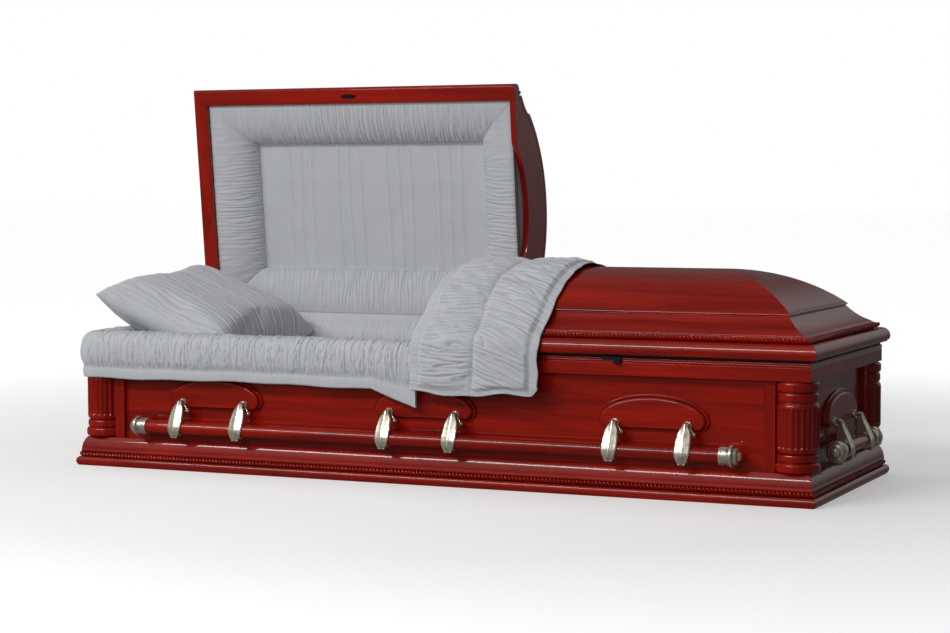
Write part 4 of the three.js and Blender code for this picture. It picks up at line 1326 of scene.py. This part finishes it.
def throw():
    """The throw's cloth: gathers across its run, a stitched line down the middle, a flat hem."""
    path = throw_path()
    steps = np.linalg.norm(np.diff(path, axis=0), axis=1)
    run = np.concatenate([[0], np.cumsum(steps)])
    tangent = np.gradient(path, axis=0)
    tangent /= np.linalg.norm(tangent, axis=1)[:, None]
    normal = np.stack([-tangent[:, 1], tangent[:, 0]], -1)
    columns = 128
    s = np.linspace(0, 1, columns)
    r, a = np.meshgrid(run, s * throw_width, indexing="ij")
    length = run[-1]
    middle = throw_width * 0.48 + 7 * MM * np.sin(r / length * 9)
    first = gathers(601, 19 * MM, 0.9, 0.6, 0.3)(r - 0.05 * a, a * 0.45)
    second = gathers(611, 18 * MM, 0.9, 0.6, 0.3)(r + 0.45 * (a - middle), a * 0.45)
    crumple = smooth_noise(620, 8, 24)(r, a)
    blend = 1 / (1 + np.exp(-(a - middle) / (5 * MM)))
    folds = first * (1 - blend) + second * blend
    side_hem = np.clip((np.minimum(a, throw_width - a) - throw_border * 0.7) / (10 * MM), 0, 1)
    front_hem = np.clip((r - throw_border * 0.4) / (10 * MM), 0, 1)
    hem = 0.3 + 0.7 * np.minimum(side_hem, front_hem)
    stitched = 1 - 0.55 * np.exp(-(((a - middle) / (8 * MM)) ** 2))
    puff = np.where(a < middle, a / middle, (throw_width - a) / (throw_width - middle))
    puff = np.sin(pi * np.clip(puff, 0, 1)) ** 0.45
    lift = (10 * MM * (folds - 0.35) * stitched + 1.2 * MM * crumple + 11 * MM * puff) * hem
    lift += 1.2 * MM * smooth_noise(630, 6, 14)(r, a) * (1 - hem) + 1.5 * MM
    over_edge = np.exp(-(((a - throw_width) / (60 * MM)) ** 2)) * np.clip(r / length * 3 - 1, 0, 1)
    lift += 3 * MM * over_edge * np.sin(pi * np.clip((r / length - 0.25) / 0.75, 0, 1))
    lift = np.maximum(lift, 0.6 * MM)
    wave = 5 * MM * np.sin(2 * pi * s * 1.2 + 1.9) + 2 * MM * np.sin(2 * pi * s * 3.1)
    rounded = 20 * MM * np.clip((s * throw_width - throw_width + 24 * MM) / (24 * MM), 0, 1) ** 2
    near_hem = np.clip(1 - r / (110 * MM), 0, 1)
    y = path[:, 0][:, None] + normal[:, 0][:, None] * lift
    z = path[:, 1][:, None] + normal[:, 1][:, None] * lift
    z = z + (wave[None, :] + 5 * MM) * near_hem + rounded[None, :] * near_hem**4
    pucker = 2.2 * MM * smooth_noise(640, 9, 22)(r, a * 0) * (np.abs(2 * s - 1) ** 3)[None, :]
    x = throw_low.x + 2 * MM + a * (1 - 4 * MM / throw_width) + pucker
    points = [tuple(p) for p in np.stack([x, y, z], -1).reshape(-1, 3)]
    faces = skin(len(path), columns, around=False)
    piece = mesh_piece("throw_gathered", points, faces, [crepe], 180)
    highest = max(piece.data.polygons, key=lambda p: p.center.z)
    if highest.normal.z < 0:
        piece.data.flip_normals()
    shell = piece.modifiers.new("thickness", "SOLIDIFY")
    shell.thickness = 1.6 * MM
    shell.offset = -1
    return piece, length


cover, cover_length = throw()
fitted(cover, "foot_lid", "white_crepe", "throw")


# Handles
# On each side a round wooden bar hangs from cast arms, which swing on lugs screwed to moulded
# half-oval plates. The arms, lugs and bar ends are plated in antique brass.
def antique_brass():
    """Plated brass, bright where it is rubbed and brown-black where the patina was left."""
    material, shader, add, place = new_material("antique_brass")
    worn = add("ShaderNodeNewGeometry").outputs["Pointiness"]
    inputs = {0: noise(add, place, 55.0, 6.0), 1: spread(add, worn, 0.44, 0.54, -0.28, 0.18)}
    mixed = add("ShaderNodeMath", inputs, operation="ADD").outputs["Value"]
    shader(
        {
            "Base Color": ramp(add, mixed, (0.08, 0.065, 0.04), (0.82, 0.77, 0.62), 0.2, 0.58),
            "Roughness": spread(add, mixed, 0.2, 0.7, 0.42, 0.16),
            "Normal": bumped(add, noise(add, place, 900.0, 2.0), 0.08, 0.0003),
            "Metallic": 0.7,
        }
    )
    return material


brass = antique_brass()
plate_low, plate_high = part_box("handle_plate_front_2")
bar_low, bar_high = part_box("bar_front")
swing = next(j for j in frame["joints"] if j["name"] == "front_bar_swing")
pivot_y, pivot_z = swing["pos_m"][1:]
bar_y = (bar_low.y + bar_high.y) / 2
bar_z = (bar_low.z + bar_high.z) / 2
bar_radius = 18 * MM
arm_half_pair = 96 * MM
plate_half = plate_high.x
plate_bottom, plate_top = plate_low.z, plate_high.z
plate_widest = pivot_z + 9 * MM
arm_lean = radians(19)


def on_side(turn, shift):
    """Turns something drawn for the front, at the middle, to the side it serves."""
    spin = Matrix.Rotation(radians(turn), 4, "Z") @ Matrix.Translation((0, shift, 0))
    return lambda p: tuple(spin @ Vector(p))


def plate_outline(inset):
    """The half-oval outline of a plate, drawn in from its edge."""
    corner = 28 * MM
    foot = plate_widest - plate_bottom
    low_inset = 0.3 * inset
    right = arc(plate_half - corner, plate_widest, corner - inset, foot - low_inset, -86, 4, 14)
    over = arc(0, plate_widest, plate_half - inset, plate_top - plate_widest - inset, 6, 174, 60)
    left = arc(-plate_half + corner, plate_widest, corner - inset, foot - low_inset, 176, 266, 14)
    return right + over + left


def handle_plate(name, middle, place):
    """A plate with a bead, a quirk and a raised flat middle."""
    back = -board_face - seat_gap
    steps = ((0.0, 0.0), (0.0, 4.0), (0.8, 6.2), (2.6, 7.6), (4.8, 7.6), (6.6, 6.4))
    steps += ((7.6, 6.2), (8.6, 8.0), (9.6, 11.4), (11.6, 13.8), (14.6, 14.9), (20.0, 15.0))
    rings = []
    for inset, proud in steps:
        rings.append([(middle + x, back - proud * MM, z) for x, z in plate_outline(inset * MM)])
    points, faces = lofted(rings)
    axis = "y" if abs(place((1, 0, 0))[0] - place((0, 0, 0))[0]) < 0.5 else "x"
    return mesh_piece(name, points, faces, [lacquer[axis]], 40, place=place)


def lathe(profile, centre, axis, sides):
    """A turned form: profile holds (distance along the axis, radius), in millimetres."""
    axis = Vector(axis).normalized()
    side = axis.orthogonal().normalized()
    other = axis.cross(side)
    turns = [2 * pi * k / sides for k in range(sides)]
    rings = []
    for along, radius in profile:
        base = Vector(centre) + axis * (along * MM)
        rings.append([base + (side * cos(t) + other * sin(t)) * (radius * MM) for t in turns])
    return lofted(rings)


def lug(x):
    """A lug on a plate: a round cup with a raised lip, the neck and eye that the arm swings on,
    and the small ball-ended stop beside it."""
    face = -board_face - 15.3 * MM
    lip = ((-0.6, 11.5), (3.0, 11.5), (5.6, 10.9), (6.6, 9.6), (6.0, 8.2), (2.5, 7.4), (1.5, 7.0))
    cup = lathe(lip, (x, face, pivot_z), (0, -1, 0), 32)
    knuckle = ((-4.5, 5.2), (-3.9, 6.0), (3.9, 6.0), (4.5, 5.2))
    eye = lathe(knuckle, (x, pivot_y, pivot_z), (1, 0, 0), 28)
    rings = []
    for step in range(7):
        t = step / 6
        half = (4.4 - 0.6 * t) * MM
        high = (5.4 - 0.6 * t) * MM
        y = face - t * (face - pivot_y)
        corners = ((-1, -1), (1, -1), (1, 1), (-1, 1))
        rings.append([(x + half * c, y, pivot_z + high * s) for c, s in corners])
    aside = (0.6, -0.15, -0.79)
    rod = ((0.0, 3.6), (5.0, 2.6), (14.0, 2.6), (20.0, 3.6))
    stem = lathe(rod, (x + 5 * MM, face - 3 * MM, pivot_z - 4 * MM), aside, 14)
    ball = [(-6.2 * cos(turn), max(0.2, 6.2 * sin(turn))) for turn in np.linspace(0, pi, 13)]
    knob = lathe(ball, (x + 18 * MM, face - 7 * MM, pivot_z - 22 * MM), aside, 18)
    return joined([cup, eye, lofted(rings), stem, knob])


def swing_arm(x):
    """A cast arm: two ears on the lug's eye, a thin leaf with a ridge down its face that passes
    in front of the bar to a notched tail, and behind it a web and a socket round the bar."""
    out, drop = pivot_y - bar_y, pivot_z - bar_z
    along = drop * cos(arm_lean) + out * sin(arm_lean)
    behind = drop * sin(arm_lean) - out * cos(arm_lean)
    tip = along / MM + 31

    def tilted(px, py, pz):
        """A point in millimetres from the pivot, with the arm upright, where it really is."""
        y = py * cos(arm_lean) + pz * sin(arm_lean)
        z = -py * sin(arm_lean) + pz * cos(arm_lean)
        return (x + px * MM, pivot_y + y * MM, pivot_z + z * MM)

    knots = [
        # down from the pivot, half width, how far in front of the pivot its edges are
        (-2.0, 6.6, 6.4),
        (5.0, 9.0, 6.8),
        (10.0, 12.4, 7.2),
        (16.0, 15.4, 7.7),
        (22.0, 17.2, 8.4),
        (40.0, 19.6, 10.6),
        (60.0, 20.5, 12.4),
        (72.0, 20.2, 12.6),
        (83.0, 17.4, 10.6),
        (92.0, 13.4, 7.4),
        (tip - 2.0, 10.4, 3.6),
    ]
    down = np.array([k[0] for k in knots], float)
    fine = np.linspace(down[0], down[-1], 36)
    halves, fronts = [np.interp(fine, down, [k[n] for k in knots]) for n in (1, 2)]
    rings = []
    for d, half, front in zip(fine, halves, fronts):
        crest = 4.6 if d < tip - 12 else 4.6 * (tip - d) / 12 + 0.8
        hollow = 0.4 * crest
        ring = [
            (-half, -front),
            (-half * 0.86, -front - 1.5),
            (-half * 0.45, -front - hollow - 0.9),
            (-half * 0.08, -front - crest),
            (half * 0.08, -front - crest),
            (half * 0.45, -front - hollow - 0.9),
            (half * 0.86, -front - 1.5),
            (half, -front),
            (half * 0.8, -front + 2.2),
            (-half * 0.8, -front + 2.2),
        ]
        rings.append([(px, py, -d) for px, py in ring])
    tail = []
    for px, py, pz in rings[-1]:
        notch = 7 * max(0.0, 1 - abs(px) / 6)
        tail.append((px * 0.86, py, pz - 2 + notch))
    rings.append(tail)
    parts = [lofted([[tilted(*p) for p in ring] for ring in rings])]
    web = [
        (-5.0, -5.0),
        (4.0, -5.0),
        (11.0, -18.0),
        (18.0, -36.0),
        (22.0, -46.0),
        (behind / MM + 16, -along / MM + 15),
        (behind / MM, -along / MM + 17),
        (-9.0, -52.0),
        (-7.0, -24.0),
    ]
    parts.append(lofted([[tilted(px, py, pz) for py, pz in web] for px in (-3.2, -2.6, 2.6, 3.2)]))
    for side in (-1, 1):
        ear_profile = ((0.0, 5.4), (0.5, 6.0), (1.6, 6.0), (2.1, 5.4), (2.1, 3.2), (2.7, 3.0), (3.1, 2.2))
        ear = lathe(ear_profile, (x + side * 5 * MM, pivot_y, pivot_z), (side, 0, 0), 24)
        strap = []
        for d in np.linspace(0, 12, 5):
            corners = ((-1, -1), (-1, 0.8), (1, 0.8), (1, -1))
            strap.append([tilted(side * (6.05 + c * 1.05), h * (6.2 - 0.1 * d), -d) for c, h in corners])
        parts += [ear, lofted(strap)]
    half_socket = [(10.5, 21.8), (12.0, 21.4), (13.0, 20.0), (13.0, 17.0)]
    socket = [(-d, r) for d, r in reversed(half_socket)] + half_socket
    parts.append(lathe(socket, (x, bar_y, bar_z), (1, 0, 0), 40))
    return joined(parts)


def swing_bar(half):
    """The wooden bar between its metal caps, a shade tapered to the caps."""
    radius, long = bar_radius / MM, half / MM
    profile = [(52 - long, radius - 0.6)]
    profile += [(60 - long + (2 * long - 120) * i / 24, radius) for i in range(25)]
    profile += [(long - 52, radius - 0.6)]
    return lathe(profile, (0, bar_y, bar_z), (1, 0, 0), 40)


def bar_caps(half):
    """The two stepped caps: a ribbed sleeve, a flange and a domed button."""
    cap = [(56.0, 18.4), (55.5, 21.8), (54.0, 22.5), (50.0, 22.5), (49.2, 21.9), (48.4, 22.5)]
    cap += [(31.0, 22.5), (30.0, 23.2), (29.0, 26.5), (27.5, 28.0), (22.5, 28.0), (21.0, 26.8)]
    cap += [(20.2, 23.5), (18.0, 22.0), (14.0, 21.4), (11.0, 19.6), (9.2, 15.4), (8.4, 12.4)]
    cap += [(6.0, 12.0), (3.0, 10.0), (1.0, 6.2), (0.2, 2.4), (0.0, 0.3)]
    profile = [(half / MM - along, radius) for along, radius in cap]
    return joined([lathe(profile, (0, bar_y, bar_z), (side, 0, 0), 44) for side in (-1, 1)])


pair_middles = (-635 * MM, 0.0, 635 * MM)
sides = (
    ("front", pair_middles, 0, 0.0, "x"),
    ("back", pair_middles, 180, 0.0, "x"),
    ("foot", (0.0,), 90, -hip, "y"),
    ("head", (0.0,), -90, -hip, "y"),
)
for label, middles, turn, shift, axis in sides:
    place = on_side(turn, shift)
    body = label + "_bar"
    lug_parts = []
    for number, middle in enumerate(middles):
        suffix = f"_{number + 1}" if len(middles) > 1 else ""
        node = f"handle_plate_{label}{suffix}"
        plate = handle_plate(node + "_moulded", middle, place)
        fitted(plate, "case", "red_lacquered_wood", node)
        for k, side in enumerate((-1, 1)):
            x = middle + side * arm_half_pair
            lug_parts.append(lug(x))
            node = f"arm_{label}_{2 * number + k + 1}"
            arm = mesh_piece(node + "_cast", *swing_arm(x), [brass], 12, place=place)
            fitted(eased(arm, 0.5 * MM, 45), body, "antique_brass", node)
    lugs = mesh_piece(f"lugs_{label}", *joined(lug_parts), [brass], 40, place=place)
    fitted(lugs, "case", "antique_brass")
    low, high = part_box("bar_" + label)
    half_bar = (high.x - low.x) / 2 if axis == "x" else (high.y - low.y) / 2
    bar = mesh_piece(f"bar_{label}_turned", *swing_bar(half_bar), [lacquer[axis]], 40, place=place)
    fitted(bar, body, "red_lacquered_wood", "bar_" + label)
    caps = mesh_piece(f"bar_caps_{label}", *bar_caps(half_bar), [brass], 35, place=place)
    fitted(caps, body, "antique_brass")


# Hinges, catch and latch
# Continuous hinges along the back of the rail, a small oval catch plate under the head lid's
# front edge, and the black latch that shows between rail and foot lid.
black = ((0.006, 0.006, 0.007), (0.022, 0.022, 0.024))
iron, iron_shader = mottled("black_iron", 500.0, 3.0, *black, rough=0.34, bump=(0.15, 0.0003))[:2]
iron_shader({"Metallic": 0.3})
for material, *nodes in (
    (iron, "head_lid_catch", "rail_latch"),
    (brass, "hinge_head", "hinge_foot"),
):
    for node in nodes:
        small = frame["nodes"][node]
        small.data.materials.clear()
        small.data.materials.append(material)
bpy.data.objects.remove(strand)


# Studio
# A plain pale floor that glows with painted light, a white surround that the gloss sees as a dark room
# with two soft windows, a long soft light high in front, and weaker ones above, behind and in front.
pale = ((0.84, 0.84, 0.845), (0.88, 0.88, 0.885))
floor_paint, floor_shader, add, place = mottled("pale_floor", 3.0, 4.0, *pale, rough=0.9)
# The floor glows with painted light, weakly near the case and more further off, so it reads white far away
# while keeping some shade near the case.
away = add("ShaderNodeVectorMath", {0: place}, operation="LENGTH").outputs["Value"]
painted_floor_glow = spread(add, away, 1.4, 4.0, 0.35, 0.8)
floor_shader({"Emission Color": (1.0, 1.0, 1.0, 1), "Emission Strength": painted_floor_glow})
reach = 40.0
corners = [(-reach, -reach, 0), (reach, -reach, 0), (reach, reach, 0), (-reach, reach, 0)]
floor = mesh_piece("floor", corners, [(0, 1, 2, 3)], [floor_paint])
floor.visible_glossy = False
floor.visible_diffuse = False

world = bpy.data.worlds.new("studio")
world.use_nodes = True
sky = world.node_tree
background = sky.nodes["Background"]
background.inputs["Color"].default_value = (1.0, 1.0, 1.0, 1)
direction = sky.nodes.new("ShaderNodeTexCoord").outputs["Generated"]


def sky_range(value, low, high, from_strength, to_strength):
    """A smooth change of strength over a range of a value."""
    node = sky.nodes.new("ShaderNodeMapRange")
    node.interpolation_type = "SMOOTHSTEP"
    inputs = {"Value": value, "From Min": low, "From Max": high}
    put(sky, node, {**inputs, "To Min": from_strength, "To Max": to_strength})
    return node.outputs["Result"]


def sky_sum(first, second, operation="ADD"):
    """Two strengths taken together."""
    node = sky.nodes.new("ShaderNodeMath")
    node.operation = operation
    put(sky, node, {0: first, 1: second})
    return node.outputs["Value"]


def window(aim, edge, full, strength):
    """A soft round patch of brightness in one direction."""
    towards = sky.nodes.new("ShaderNodeVectorMath")
    towards.operation = "DOT_PRODUCT"
    put(sky, towards, {0: direction, 1: Vector(aim).normalized()})
    return sky_range(towards.outputs["Value"], edge, full, 0.0, strength)


apart = sky.nodes.new("ShaderNodeSeparateXYZ")
sky.links.new(direction, apart.inputs["Vector"])
ambient = sky_range(apart.outputs["X"], -1.0, 0.9, 0.36, 0.07)
front_window = window((-0.31, -0.67, 0.67), 0.72, 0.93, 0.55)
back_window = window((0.33, 0.85, 0.42), 0.86, 0.97, 0.3)
room = sky.nodes.new("ShaderNodeValue")
room.outputs["Value"].default_value = 0.09
reflected = sky_sum(sky_sum(front_window, back_window), room.outputs["Value"])
seen = sky.nodes.new("ShaderNodeLightPath")
choice = sky.nodes.new("ShaderNodeMix")
put(sky, choice, {"Factor": seen.outputs["Is Glossy Ray"], "A": ambient, "B": reflected})
strength = sky_sum(choice.outputs["Result"], seen.outputs["Is Camera Ray"], "MAXIMUM")
sky.links.new(strength, background.inputs["Strength"])
bpy.context.scene.world = world


def soft_light(name, place, target, width, height, power):
    """A rectangular soft light aimed at a point."""
    light = bpy.data.lights.new(name, "AREA")
    light.shape = "RECTANGLE"
    light.size, light.size_y = width, height
    light.energy = power
    lamp = bpy.data.objects.new(name, light)
    aim = (Vector(target) - Vector(place)).to_track_quat("-Z", "Y")
    lamp.matrix_world = Matrix.Translation(place) @ aim.to_matrix().to_4x4()
    bpy.context.scene.collection.objects.link(lamp)
    return lamp


soft_light("key", (-1.9, -3.9, 3.1), (-0.2, 0.0, 0.3), 3.6, 0.5, 92)
for name, place, width, height, power in (
    ("top", (-0.4, 0.6, 3.6), 3.4, 0.7, 9),
    ("back", (-0.5, 4.0, 2.6), 3.0, 1.2, 9),
    ("front", (0.6, -5.2, 1.6), 2.4, 1.2, 36),
):
    fill = soft_light(name, place, (0.0, 0.0, 0.4), width, height, power)
    fill.visible_glossy = False

bpy.context.scene.view_settings.view_transform = "Standard"
